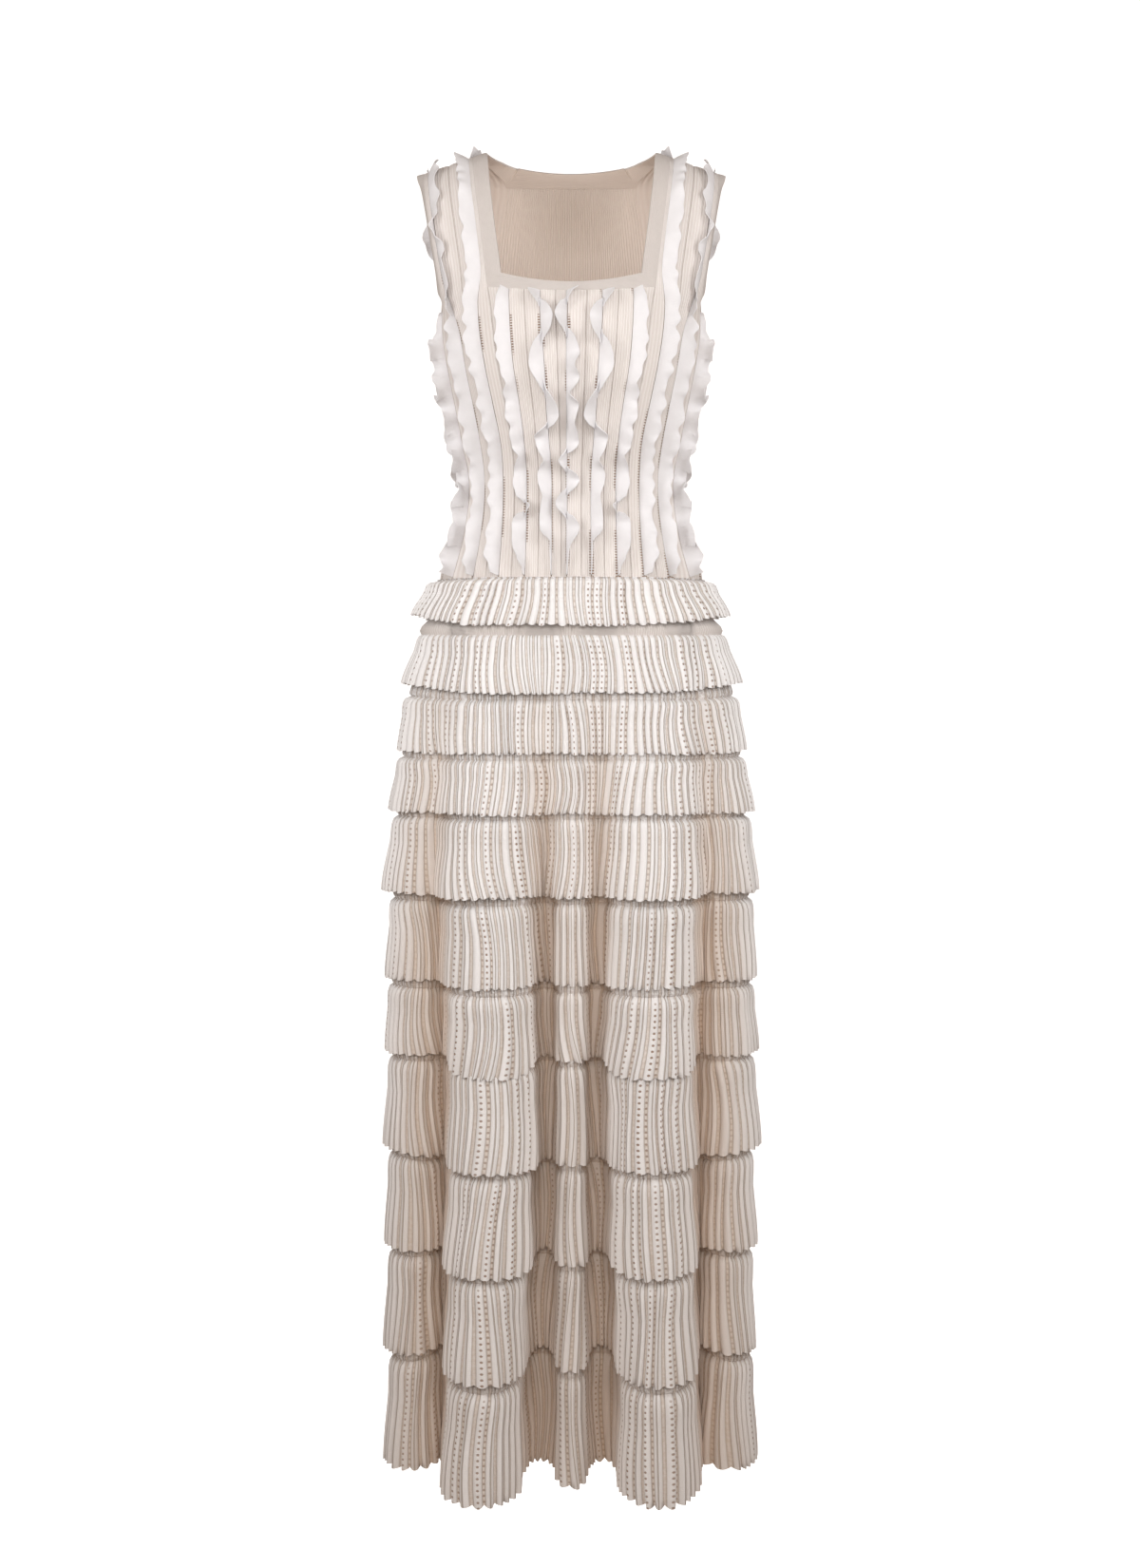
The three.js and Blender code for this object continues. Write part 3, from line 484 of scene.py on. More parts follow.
class Panel:
    """Front or back of the bodice: a smooth surface over section number and column line.

    The neck and the armhole open above their own rows, and the middle line stands a little to one side."""

    def __init__(self, rows, other, facing, neck_row, arm_row, middle):
        self.rows = with_shoulder(rows, other)
        self.last = len(rows["z"]) - 1
        self.facing = facing
        self.neck_row = neck_row
        self.arm_row = arm_row
        self.middle = middle

    def read(self, key, section):
        return through(self.rows[key], np.asarray(section, float) + 1)

    def distance(self, section, line):
        """Distance from the middle of a column line at a section, for lines up to the armhole line."""
        a, b, neck, c, d, e = (self.read(key, section) for key in ("a", "b", "neck", "c", "d", "e"))
        marks = np.stack([0 * a, a / 2, a, (a + b) / 2, b, neck, c, (c + d) / 2, d, e], -1)
        low = np.clip(np.floor(np.abs(line)).astype(int), 0, LINE_E - 1)
        share = np.clip(np.abs(line), 0, LINE_E) - low
        first = np.take_along_axis(marks, low[..., None], -1)[..., 0]
        second = np.take_along_axis(marks, low[..., None] + 1, -1)[..., 0]
        return first + (second - first) * share

    def depth_at(self, section, x):
        reach = np.clip(np.abs(x) / self.read("half", section), 0, 1)
        return self.read("deep", section) * (1 - reach ** SECTION_POWER) ** (1 / SECTION_POWER)

    def point(self, section, line):
        """Points of the plain outside at sections and signed column lines, in millimetres."""
        section, line = np.broadcast_arrays(np.asarray(section, float), np.asarray(line, float))
        x = self.distance(section, line)
        depth = self.depth_at(section, x)
        slope = self.read("slope", section) * np.clip((x - SHOULDER_START) / SHOULDER_SPAN, 0, None)
        z = self.read("z", section) - slope
        if self.facing < 0:
            past = np.clip(section - self.neck_row, 0, 1)
            sag = NECKLINE_SAG * (1 - np.clip(x / self.read("neck", section), 0, 1) ** 2)
            z = z - np.where(section >= self.neck_row, sag * (1 - past), 0)
        side = np.clip((np.abs(line) - LINE_E) / (LINE_SIDE - LINE_E), 0, 1)
        side_depth = depth * (1 - side)
        deep, half = self.read("deep", section), self.read("half", section)
        reach = np.clip(side_depth / np.maximum(deep, 1e-6), 0, 1)
        side_x = half * (1 - reach ** SECTION_POWER) ** (1 / SECTION_POWER)
        side_x = np.where(section < self.arm_row, x + 5 * side, side_x)
        dip = UNDERARM_DIP * np.sqrt(1 - (1 - side) ** 2) * np.clip(1 - (section - self.arm_row), 0, 1)
        beyond = side > 0
        x = np.where(beyond, side_x, x)
        depth = np.where(beyond, side_depth, depth)
        z = np.where(beyond & (section >= self.arm_row), z - dip, z)
        middle = self.middle * np.clip(1 - np.abs(line), 0, 1)
        return np.stack([np.sign(line) * x + middle, self.facing * depth, z], -1)

    def normal(self, section, line, margin=0.03):
        """Outward normals, from small steps along the surface, a little inside its edges."""
        step = 0.02
        section = np.clip(section, margin, self.last - margin)
        line = np.clip(line, 0.03 - LINE_SIDE, LINE_SIDE - 0.03)
        along = self.point(section + step, line) - self.point(section - step, line)
        across = self.point(section, line + step) - self.point(section, line - step)
        return unit(np.cross(along, across)) * self.facing * -1


FRONT_PANEL = Panel(FRONT, BACK, facing=-1, neck_row=6, arm_row=7, middle=-5)
BACK_PANEL = Panel(BACK, FRONT, facing=1, neck_row=3, arm_row=7, middle=0)


def section_steps(panel, step):
    """Section numbers down the panel about one step apart, with every table row among them."""
    z = panel.rows["z"][1:]
    deep = panel.rows["deep"][1:]
    spans = np.hypot(np.diff(z), np.diff(deep))
    counts = np.maximum(1, np.round(spans / step)).astype(int)
    parts = [i + np.arange(count) / count for i, count in enumerate(counts)]
    return np.concatenate(parts + [[panel.last]])


def bodice_panel(name, panel, node, material, sizes):
    """One bodice panel with raised rib panels between narrow grooves, and a plain inside."""
    half = np.append(np.add.outer(np.arange(LINE_SIDE), IN_A_LINE), LINE_SIDE)
    lines = np.concatenate([-half[:0:-1], half])
    sections = section_steps(panel, step=5.0)
    section, line = np.meshgrid(sections, lines, indexing="ij")
    plain = panel.point(section, line)
    normal = panel.normal(section, line, margin=0.02)
    spot = np.abs(line) % 1
    crown = 1 - np.abs(2 * spot - 1) ** 6
    fade = ease((panel.last - section) / 0.3)
    outer = plain + normal * (sizes.rib_rise * crown * fade)[..., None]
    inner = plain - normal * sizes.panel_wall
    ribs = np.interp(np.abs(line), range(LINE_SIDE + 1), RIBS_BEFORE_LINE) * np.sign(line)
    strap = len(lines) // 2 + STRAP_COLUMN
    down = travelled(plain[:, strap])[:, None]
    knit = pair(ribs, down)
    ladder = pair(line - 2 * np.round(line / 2), down)
    between = (section[:-1, :-1] + section[1:, 1:]) / 2
    beside = np.abs(line[:-1, :-1] + line[1:, 1:]) / 2
    in_neck = (between < panel.neck_row) & (beside < LINE_NECK)
    in_armhole = (between < panel.arm_row) & (beside > LINE_E)
    plain_inside = pair(np.full_like(line, 0.5), INSIDE)
    uvs = {"knit": (knit, knit), "ladder": (ladder, plain_inside)}
    mesh = make_shell(name, outer, inner, uvs, keep=~in_neck & ~in_armhole)
    place(name, mesh, material, "rib_knit", [node], (0.4, 0.5), "stretched", ["neckband_front"], area=0.152)


# Materials


def add_node(tree, kind, inputs=(), **settings):
    """Adds a node with its settings, and its sockets set to values or linked, and gives its outputs."""
    node = tree.nodes.new("ShaderNode" + kind)
    for key, value in settings.items():
        setattr(node, key, value)
    for key, value in inputs.items() if isinstance(inputs, dict) else enumerate(inputs):
        if isinstance(value, bpy.types.NodeSocket):
            tree.links.new(value, node.inputs[key])
        else:
            node.inputs[key].default_value = value
    return node.outputs


# Soft matt yarn with a faint fuzz that catches light at grazing angles
KNIT_FINISH = {
    "Roughness": 0.85,
    "IOR": 1.46,
    "Specular IOR Level": 0.2,
    "Sheen Weight": 0.15,
    "Sheen Roughness": 0.5,
}


def start_material(name):
    """A material without nodes, and the function that adds them to it."""
    material = bpy.data.materials.new(name)
    material.use_nodes = True
    material.node_tree.nodes.clear()
    return material, functools.partial(add_node, material.node_tree)


def finish_material(add, colour, height, depth):
    """Principled knit with a bump, out to the surface."""
    bump = add("Bump", {"Height": height, "Strength": 1.0, "Distance": depth})[0]
    shader = add("BsdfPrincipled", {"Base Color": colour, "Normal": bump, **KNIT_FINISH})[0]
    add("OutputMaterial", [shader])


def rgba(colour):
    return (*colour, 1.0)


def rib_material(name, colours):
    """Viscose rib knit: fine upright ribs, a painted shadow line at each frill's root, finer lines between
    the frills, ladders of holes painted with the shade inside them, and a painted warm shade on the inside.
    """
    material, add = start_material(name)
    knit = add("UVMap", uv_map="knit")[0]
    ladder = add("UVMap", uv_map="ladder")[0]
    rib, down, _ = add("SeparateXYZ", [knit])
    line, depth, _ = add("SeparateXYZ", [ladder])
    rib = add("Math", [rib, 0.5], operation="PINGPONG")[0]
    off_line = add("Math", [line], operation="ABSOLUTE")[0]
    rung = add("Math", [down, LADDER_STEP / 2], operation="PINGPONG")[0]
    spot = add("CombineXYZ", [off_line, rung])[0]
    spot = add("VectorMath", [spot, (10.0, 1.0, 0.0)], operation="MULTIPLY")[0]
    spot = add("VectorMath", [spot, (1.2, 0.0, 0.0)], operation="DISTANCE")[1]
    patch = add("TexNoise", {"Vector": knit, "Scale": 0.016, "Detail": 0.0})[0]
    # Value, where its mask starts and is full, and the most that it gives
    ramps = (
        ("SMOOTHSTEP", rib, 0.0, 0.5, 1.0),
        ("SMOOTHSTEP", off_line, 0.075, 0.025, 1.0),
        ("SMOOTHSTEP", off_line, 0.95, 0.985, 0.45),
        ("SMOOTHSTEP", patch, 0.5, 0.56, 1.0),
        ("LINEAR", spot, 0.95, 0.5, 1.0),
        ("LINEAR", depth, 165.0, 185.0, 1.0),
    )
    masks = []
    for style, value, start, full, most in ramps:
        ramp = {"Value": value, "From Min": start, "From Max": full, "To Max": most}
        masks.append(add("MapRange", ramp, interpolation_type=style)[0])
    # root is a painted shadow line along each frill's root, and seam a finer line between the frills
    rib, root, seam, patch, hole, below = masks
    root_shadow_and_line = add("Math", [root, seam], operation="MAXIMUM")[0]
    patch = add("Math", [patch, below], operation="MULTIPLY")[0]
    # The ladder holes are painted with the shade inside them
    hole = add("Math", [hole, patch], operation="MULTIPLY")[0]
    # The inside of the bodice takes a painted warm shade, for the shade that the cloth all round casts there
    inside = add("Math", [depth, INSIDE / 2], operation="LESS_THAN")[0]
    inside = add("Math", [inside, INSIDE_SHARE], operation="MULTIPLY")[0]
    face = rgba(colours.groove)
    marks = ((rib, colours.rib), (root_shadow_and_line, colours.seam), (hole, colours.eyelet), (inside, colours.inside))
    for mask, colour in marks:
        face = add("Mix", {0: mask, 6: face, 7: rgba(colour)}, data_type="RGBA")[2]
    height = rib
    for mask in (root_shadow_and_line, hole):
        height = add("Math", [mask, -1.5, height], operation="MULTIPLY_ADD")[0]
    finish_material(add, face, height, 0.0004)
    return material


def plain_knit_material(name, colours, colour, pitch, depth):
    """Fine plain knit: a soft even face with the rows of stitches just showing, and a painted warm shade on
    insides marked for it.
    """
    material, add = start_material(name)
    uv = add("UVMap", uv_map="knit")[0]
    row, along, _ = add("SeparateXYZ", [uv])
    wales = add("Math", [row, pitch / 2], operation="PINGPONG")[0]
    noise = add("TexNoise", {"Vector": uv, "Scale": 0.08, "Detail": 3.0})[0]
    shade = add("MapRange", {"Value": noise, "To Min": 0.93, "To Max": 1.03})[0]
    tint = add("VectorMath", {0: colour, 1: shade}, operation="MULTIPLY")[0]
    # Insides marked with the inside depth take a painted warm shade
    inside_shade = add("Math", [along, INSIDE / 2], operation="LESS_THAN")[0]
    inside_shade = add("Math", [inside_shade, INSIDE_SHARE], operation="MULTIPLY")[0]
    tint = add("Mix", {0: inside_shade, 6: tint, 7: rgba(colours.inside)}, data_type="RGBA")[2]
    finish_material(add, tint, wales, depth)
    return material


def openwork_material(name, colours):
    """Openwork knit, pleated: bright welts, some split by a slit, and columns of eyelets in the recesses,
    with painted shade in the recesses, the slits, the eyelets, at the foot of the welts and in the valleys
    of the folds.
    """
    material, add = start_material(name)
    uv = add("UVMap", uv_map="knit")[0]
    fold = add("UVMap", uv_map="fold")[0]
    across, down, _ = add("SeparateXYZ", [uv])
    # valley and low carry the painted warm shade of the folds' valleys and towards the floor
    valley, low, _ = add("SeparateXYZ", [fold])
    # 0 in the middle of a welt, and half a pleat's cloth in the middle of a recess
    away = add("Math", [across, PLEAT_CLOTH / 2], operation="PINGPONG")[0]
    row = add("Math", [down, EYELET_STEP / 2], operation="PINGPONG")[0]
    stitch = add("Math", [down, 1.1], operation="PINGPONG")[0]
    # A painted shade line at the foot of each welt, where it meets the recess
    welt_foot_shade = add("Math", [away, 4.6, 0.5], operation="COMPARE")[0]
    noise = add("TexNoise", {"Vector": uv, "Scale": 0.3, "Detail": 2.0})[0]
    # A random number for each welt and for each recess
    numbers = []
    for shift in (0.5, 0.0):
        pleat = add("Math", [across, 1 / PLEAT_CLOTH, shift], operation="MULTIPLY_ADD")[0]
        pleat = add("Math", [pleat], operation="FLOOR")[0]
        numbers.append(add("TexWhiteNoise", {"W": pleat}, noise_dimensions="1D")[0])
    kind, clear = numbers
    spot = add("CombineXYZ", [away, row])[0]
    off_welt, off_recess = (
        add("VectorMath", [spot, (middle, 0.0, 0.0)], operation="DISTANCE")[1]
        for middle in (0.0, PLEAT_CLOTH / 2)
    )
    # Value, where its mask starts and is full, and the most that it gives
    ramps = (
        ("SMOOTHSTEP", off_welt, EYELET_SIZE * 0.7, EYELET_SIZE * 0.4, 1.0),
        ("SMOOTHSTEP", off_recess, EYELET_SIZE * 0.7, EYELET_SIZE * 0.4, 1.0),
        ("SMOOTHSTEP", away, 0.9, 0.35, 0.85),
        ("SMOOTHSTEP", away, 4.5, 3.6, 1.0),
        ("LINEAR", clear, 0.4, 0.9, 0.7),
        ("LINEAR", down, 4.0, 8.0, 1.0),
        ("LINEAR", noise, 0.42, 0.58, 1.0),
        ("LINEAR", down, 4.0, 0.0, 1.0),
        ("LINEAR", noise, 0.35, 0.65, 0.4),
    )
    masks = []
    for style, value, start, full, most in ramps:
        ramp = {"Value": value, "From Min": start, "From Max": full, "To Max": most}
        masks.append(add("MapRange", ramp, interpolation_type=style)[0])
    on_welt, in_recess, slit, welt, clear, below, loops, heading, patchy = masks
    # Eyelets lie in most recesses and on about a quarter of the welts, and slits split half of the welts
    pierced = add("Math", [kind, 0.72], operation="GREATER_THAN")[0]
    split = add("Math", [kind, 0.5], operation="LESS_THAN")[0]
    on_welt = add("Math", [on_welt, kind], operation="MULTIPLY")[0]
    on_welt = add("Math", [on_welt, pierced], operation="MULTIPLY")[0]
    in_recess = add("Math", [in_recess, clear], operation="MULTIPLY")[0]
    # The eyelets are holes of the knit, painted with the shade inside them
    eyelet = add("Math", [on_welt, in_recess], operation="MAXIMUM")[0]
    eyelet = add("Math", [eyelet, below], operation="MULTIPLY")[0]
    slit = add("Math", [slit, split], operation="MULTIPLY")[0]
    loops = add("Math", [loops, heading], operation="MULTIPLY")[0]
    # Mask, the most of the colour that it lays on, and the colour. The recess colour beneath is partly the
    # knit's own and partly painted shade; the foot, slit, eyelet, valley and low marks are painted shade.
    marks = (
        (patchy, 1.0, colours.ridge),
        (welt, 1.0, colours.ridge),
        (welt_foot_shade, 0.35, colours.slit),
        (slit, 0.85, colours.slit),
        (loops, 0.22, colours.eyelet),
        (eyelet, 0.9, colours.eyelet),
        (valley, 0.5, colours.valley),
        (low, 0.14, colours.valley),
    )
    face = rgba(colours.recess)
    for mask, most, colour in marks:
        share = add("Math", [mask, most], operation="MULTIPLY")[0]
        face = add("Mix", {0: share, 6: face, 7: rgba(colour)}, data_type="RGBA")[2]
    height = welt
    for mask, depth in ((stitch, 0.15), (slit, -1.0), (eyelet, -0.4), (loops, -0.5)):
        height = add("Math", [mask, depth, height], operation="MULTIPLY_ADD")[0]
    finish_material(add, face, height, 0.0009)
    return material


def knit_materials(scene):
    """The four knits, made the first time that they are asked for."""
    colours = scene.dress_colours
    makers = {
        "rib": ("Viscose rib knit, ivory", rib_material, ()),
        "band": ("Doubled plain knit, ivory", plain_knit_material, (colours.band, 1.8, 0.00025)),
        "frill": ("Fine plain knit, off-white", plain_knit_material, (colours.frill, 1.5, 0.00012)),
        "openwork": ("Openwork pleated knit, ivory", openwork_material, ()),
    }
    return {
        key: bpy.data.materials.get(name) or make(name, colours, *details)
        for key, (name, make, details) in makers.items()
    }


# Bands


def band_shell(name, edge, rim, normal, closed, material, node, sizes, flat):
    """A flat doubled band between its edge on the panel and its free rim, with a slightly round face."""
    share = np.linspace(0, 1, 7)[:, None, None]
    across = edge + (rim - edge) * share
    crown = 0.5 + 0.7 * np.sin(np.pi * share) ** 0.5
    outer = across + normal * crown
    inner = across - normal * (sizes.band_wall - 0.5)
    along = travelled(np.append(edge, edge[:1], axis=0))[:len(edge) + closed]
    wide = np.linalg.norm(rim - edge, axis=1).mean() * share[:, :, 0]
    uv = pair(wide, along)
    inside = pair(uv[..., 0], INSIDE)
    mesh = make_shell(name, outer, inner, {"knit": (uv, inside)}, closed=closed)
    place(name, mesh, material, "band_knit", [node], flat, "stretched", ["bodice_front", "bodice_back"])


def neckband(name, panel, node, material, sizes):
    """The band round one half of the neck opening, down a strap, across and up the other strap."""
    corner_section = panel.neck_row - 1
    sections = np.linspace(0, panel.neck_row, 60)
    edge = panel.point(sections, LINE_NECK)
    normal = panel.normal(sections, LINE_NECK)
    rim_x = panel.read("rim", sections)
    rise = 1 if panel.facing < 0 else BACK_RIM_RISE
    rim_y = panel.facing * panel.depth_at(sections, rim_x)
    rim = np.stack([rim_x, rim_y, panel.read("z", sections) * rise], -1)
    lines = np.linspace(LINE_NECK, 0, 24)[1:]
    across = panel.point(panel.neck_row, lines)
    across[:, 0] -= panel.middle * np.clip(1 - lines, 0, 1)
    middle_rim = neck_rim(panel, across[:, 0])
    corner = neck_rim(panel, edge[-1:, 0])[0]
    turn = np.clip(sections - corner_section, 0, 1)[:, None]
    rim = rim * (1 - turn) + corner * turn
    edge = np.concatenate([edge, across])
    rim = np.concatenate([rim, middle_rim])
    normal = np.concatenate([normal, panel.normal(panel.neck_row, lines)])
    edge = edge + unit(edge - rim) * 1.0
    flip = np.array([-1, 1, 1])
    edge, rim, normal = (np.concatenate([half, half[-2::-1] * flip]) for half in (edge, rim, normal))
    length = float(travelled((edge + rim) / 2)[-1]) * MM
    band_shell(name, edge, rim, normal, False, material, node, sizes, (round(length, 3), 0.017))


def neck_rim(panel, edge_x):
    """Free edge of the neck opening across the middle, beside the given places on the panel."""
    share = np.abs(edge_x) / panel.read("neck", float(panel.neck_row))
    if panel.facing < 0:
        x = NECK_CORNER[0] * share
        z = NECK_MIDDLE_Z + (NECK_CORNER[1] - NECK_MIDDLE_Z) * share ** 2
        sections = np.interp(-z, -panel.rows["z"][1:], np.arange(panel.last + 1))
        y = -panel.depth_at(sections, x)
    else:
        x = panel.read("rim", float(panel.neck_row)) * share
        y = BACK_NECK_MIDDLE[0] + (BACK_NECK_CORNER[0] - BACK_NECK_MIDDLE[0]) * share ** 2
        z = BACK_NECK_MIDDLE[1] + (BACK_NECK_CORNER[1] - BACK_NECK_MIDDLE[1]) * share ** 2
    return np.stack([x * np.sign(edge_x), y, z], -1)


def armhole_stations(sizes):
    """Edge, way out and normal at places round the left armhole, over the shoulder and under the arm."""
    places = [(FRONT_PANEL, i, LINE_E) for i in range(FRONT_PANEL.arm_row + 1)]
    places += [(FRONT_PANEL, FRONT_PANEL.arm_row, LINE_E + 1), (FRONT_PANEL, FRONT_PANEL.arm_row, LINE_SIDE)]
    places += [(BACK_PANEL, BACK_PANEL.arm_row, LINE_E + 1)]
    places += [(BACK_PANEL, i, LINE_E) for i in range(BACK_PANEL.arm_row, 0, -1)]
    edge, rim, normal = [], [], []
    for panel, section, line in places:
        point = panel.point(section, line)
        face = panel.normal(section, line)
        sideways = point - panel.point(section, LINE_D)
        up = np.array([0.0, -panel.facing * 0.5 * (line == LINE_E + 1), 1.0])
        way = sideways if section < panel.arm_row else up
        if section == panel.arm_row and line == LINE_E:
            way = unit(sideways) * 0.6 + up
        way = unit(way - face * (way * face).sum())
        edge.append(point - way)
        rim.append(point + way * sizes.band_width)
        normal.append(face)
    return np.array(edge), np.array(rim), np.array(normal)


# Frills


def frill_lean(z, turns):
    """Lean of a frill at each height, and how far its free edge slides along it where it turns over."""
    z_turn, lean_turn = np.array(turns, float).T
    lean_turn = np.radians(lean_turn)
    i = np.clip(np.searchsorted(-z_turn, -z, side="right") - 1, 0, len(turns) - 2)
    gap = z_turn[i] - z_turn[i + 1]
    passed = np.clip((z_turn[i] - z) / gap, 0, 1)
    crossing = lean_turn[i] * lean_turn[i + 1] < 0
    over = passed >= 0.5
    upright = ease(np.where(over, 1 - passed, passed) / (0.5 - FRILL_TURN))
    swaying = lean_turn[i] + (lean_turn[i + 1] - lean_turn[i]) * ease(passed)
    turning = np.abs(passed - 0.5) < FRILL_TURN
    slide = np.where(turning, (0.5 - passed) / FRILL_TURN, upright * (1 - 2 * over))
    lean = np.where(crossing, lean_turn[i + over] * (1 - upright), swaying)
    return lean, slide * crossing * gap * FRILL_FOLD


def frill(name, panel, line, side, turns, node, material, sizes):
    """A narrow frill on one column line, leaning from side to side with its free edge curled over."""
    sections = section_steps(panel, step=1.0)
    root = panel.point(sections, line * side)
    good = (root[:, 2] <= turns[0][0] + 3) & (root[:, 2] >= turns[-1][0])
    if line == LINE_E:
        good &= sections >= panel.arm_row
    elif line < LINE_NECK:
        good &= sections >= panel.neck_row + 0.02
    marks = travelled(root[good])
    length = float(marks[-1])
    count = max(12, int(length / FRILL_SPACING))
    sections = np.interp(np.linspace(0, length, count), marks, sections[good])
    root = panel.point(sections, line * side)
    normal = panel.normal(sections, line * side)
    along = unit(np.gradient(root, axis=0))
    across = unit(np.cross(along, normal))
    across *= np.where(across[:, :1] < 0, -1, 1)
    lean, slide = frill_lean(root[:, 2], turns)
    lean = lean * side
    steps = np.linspace(0, 1, FRILL_POINTS)
    rng = np.random.default_rng(900 + line)
    flutter, ripple = (
        wander(rng, int(length / step), np.linspace(0, 1, count), closed=False)
        for step in (FLUTTER_STEP, RIPPLE_STEP)
    )
    flutter = flutter * np.radians(np.interp(line, (0, LINE_E), FLUTTER)) * side
    # The frill curls: its root leans half as far as its edge, and the flutter is all at the edge
    angle = lean[:, None] * (0.5 + 0.6 * steps ** 0.7) + flutter[:, None] * steps ** 1.5
    angle = np.clip(angle, -FRILL_LAID, FRILL_LAID)
    shown = UPRIGHT_SHARE + (1 - UPRIGHT_SHARE) * ease(np.abs(lean) / np.radians(FULL_LEAN))
    if line == LINE_E:
        shown = SIDE_START + SIDE_GROWTH * ease(np.linspace(0, length / SIDE_SPAN, count))
    shown = shown * (1 + ripple * np.interp(line, (0, LINE_E), RIPPLE))
    piece = sizes.frill_width * np.diff(steps, prepend=0) * shown[:, None]
    out = np.cumsum(np.cos(angle) * piece, axis=1) + 0.2
    sway = np.cumsum(np.sin(angle) * piece, axis=1)
    from_end = np.minimum(np.arange(count), np.arange(count)[::-1])
    slide = (slide * ease(from_end / 6))[:, None] * steps ** 1.3
    grid = root[:, None] + normal[:, None] * out[..., None] + across[:, None] * sway[..., None]
    grid = grid + along[:, None] * slide[..., None]
    flat = unit(np.cross(np.gradient(grid, axis=0), np.gradient(grid, axis=1)))
    outer = grid + flat * sizes.frill_wall / 2
    inner = grid - flat * sizes.frill_wall / 2
    uv = pair(np.linspace(0, length, count)[:, None], steps * sizes.frill_width)
    mesh = make_shell(name, outer, inner, {"knit": (uv, uv)})
    cut = (round(length * FRILL_GATHER * MM, 3), sizes.frill_width * MM)
    rests_on = "bodice_front" if panel.facing < 0 else "bodice_back"
    place(name, mesh, material, "frill_knit", [node], cut, "gathered", [rests_on])


def back_turns(start, number):
    """Turns of a back frill: uneven waves of alternating lean."""
    rng = np.random.default_rng(70 + number)
    heights = start - np.cumsum(np.append(0, rng.uniform(0.7, 1.3, 14))) * BACK_TURN
    heights = heights[heights > HIP_Z + 20]
    way = np.where((np.arange(len(heights)) + number) % 2, 1, -1)
    lean = rng.uniform(0.75, 1.2, len(heights)) * BACK_LEAN * way
    return [*zip(heights, lean), (HIP_Z + 3, 0)]


# Skirt form


def mirrored(values, sign):
    """A column of the fold table carried round the other half of the hem."""
    return np.concatenate([values, sign * values[-2:0:-1]])


FOLD_POINTS = np.stack([mirrored(FOLDS["x"], -1), mirrored(FOLDS["y"], 1)], -1)
FOLD_RISE = mirrored(FOLDS["rise"], 1)
FOLD_PULL = mirrored(FOLDS["pull"], -1)
FOLD_STAND = mirrored(FOLDS["stand"], 1)
FOLD_HIP = np.concatenate([FOLDS["hip"], 360 - FOLDS["hip"][-2:0:-1], [360]])


def skirt_value(key, z):
    return np.interp(-z, -SKIRT["z"], SKIRT[key])


def hip_angle(share):
    """Where the thread at a share of the way round lies on the hip seam, in radians from the front."""
    return np.radians(np.interp(share * len(FOLD_POINTS), np.arange(len(FOLD_POINTS) + 1), FOLD_HIP))


def skirt_point(share, z, out, pleat=0.0):
    """Points round the skirt at a share of the way round, a height and a distance off the carrying skirt.

    pleat is added to that distance, and isn't lessened where the tiers lie closer."""
    share, z, out, pleat = np.broadcast_arrays(share % 1, z, out, pleat)
    close = skirt_value("close", z)[..., None]
    step = 0.004
    hem, ahead, behind = (hem_point(place, close) for place in (share, share + step, share - step))
    tangent = unit(ahead - behind)
    hem_normal = np.stack([tangent[..., 1], -tangent[..., 0]], -1)
    stand = through(FOLD_STAND, share * len(FOLD_POINTS), closed=True)
    hem = hem + hem_normal * ((out - HEM_INSET) * stand + pleat)[..., None]
    angle = hip_angle(share)
    sine, cosine = np.sin(angle), np.cos(angle)
    half = skirt_value("half", z)
    deep = np.where(cosine > 0, skirt_value("front", z), skirt_value("back", z))
    power = 2 / SECTION_POWER
    hip = np.stack([
        np.sign(sine) * half * np.abs(sine) ** power,
        -np.sign(cosine) * deep * np.abs(cosine) ** power,
    ], -1)
    hip_normal = unit(np.stack([
        np.sign(sine) * np.abs(sine) ** (2 - power) / half,
        -np.sign(cosine) * np.abs(cosine) ** (2 - power) / deep,
    ], -1))
    hip = hip + hip_normal * (out + pleat)[..., None]
    fold = skirt_value("fold", z)[..., None]
    plan = hip * (1 - fold) + hem * fold
    return np.concatenate([plan, z[..., None]], -1)


def hem_point(share, close):
    """Points of the folded hem outline, with the given share of its pull towards the middle."""
    place = share % 1 * len(FOLD_POINTS)
    point = through(FOLD_POINTS, place, closed=True)
    pull = through(FOLD_PULL, place, closed=True)
    return point - np.stack([pull, 0 * pull], -1) * close


def even_shares(z, out, count):
    """Shares of the way round that lie at even steps of cloth at a height."""
    dense = np.linspace(0, 1, 4001)
    ring = skirt_point(dense, np.full_like(dense, z), np.full_like(dense, out))
    length = travelled(ring)
    marks = np.arange(count) / count * length[-1]
    return np.interp(marks, length, dense), length[-1]


def carrying_skirt(material, sizes):
    """The knit skirt under the tiers, which shows between the first two and inside."""
    shares, around = even_shares(z=-900.0, out=0.0, count=SKIRT_POINTS)
    # Rows lie close where the knit shows, and wider apart below
    z = np.append(np.linspace(HIP_Z, -570, 19), np.linspace(-590, BASE_END_Z, 32))[:, None]
    swell = SWELL * np.exp(-((z - SWELL_Z) / SWELL_SPAN) ** 2) + np.zeros(SKIRT_POINTS)
    outer = skirt_point(shares, z, swell)
    inner = skirt_point(shares, z, swell - sizes.panel_wall)
    ribs = np.arange(SKIRT_POINTS + 1) / SKIRT_POINTS * round(around / RIB_PITCH)
    knit, plain = (pair(across, HIP_Z - z) for across in (ribs, np.full_like(ribs, 0.5)))
    uvs = {"knit": (knit, knit), "ladder": (plain, plain)}
    mesh = make_shell("carrying_skirt", outer, inner, uvs, closed=True)
    cut = (1.6, 0.9)
    nodes = ["skirt_base"]
    place("carrying_skirt", mesh, material, "rib_knit", nodes, cut, "hung", ["bodice_front"], area=1.12)


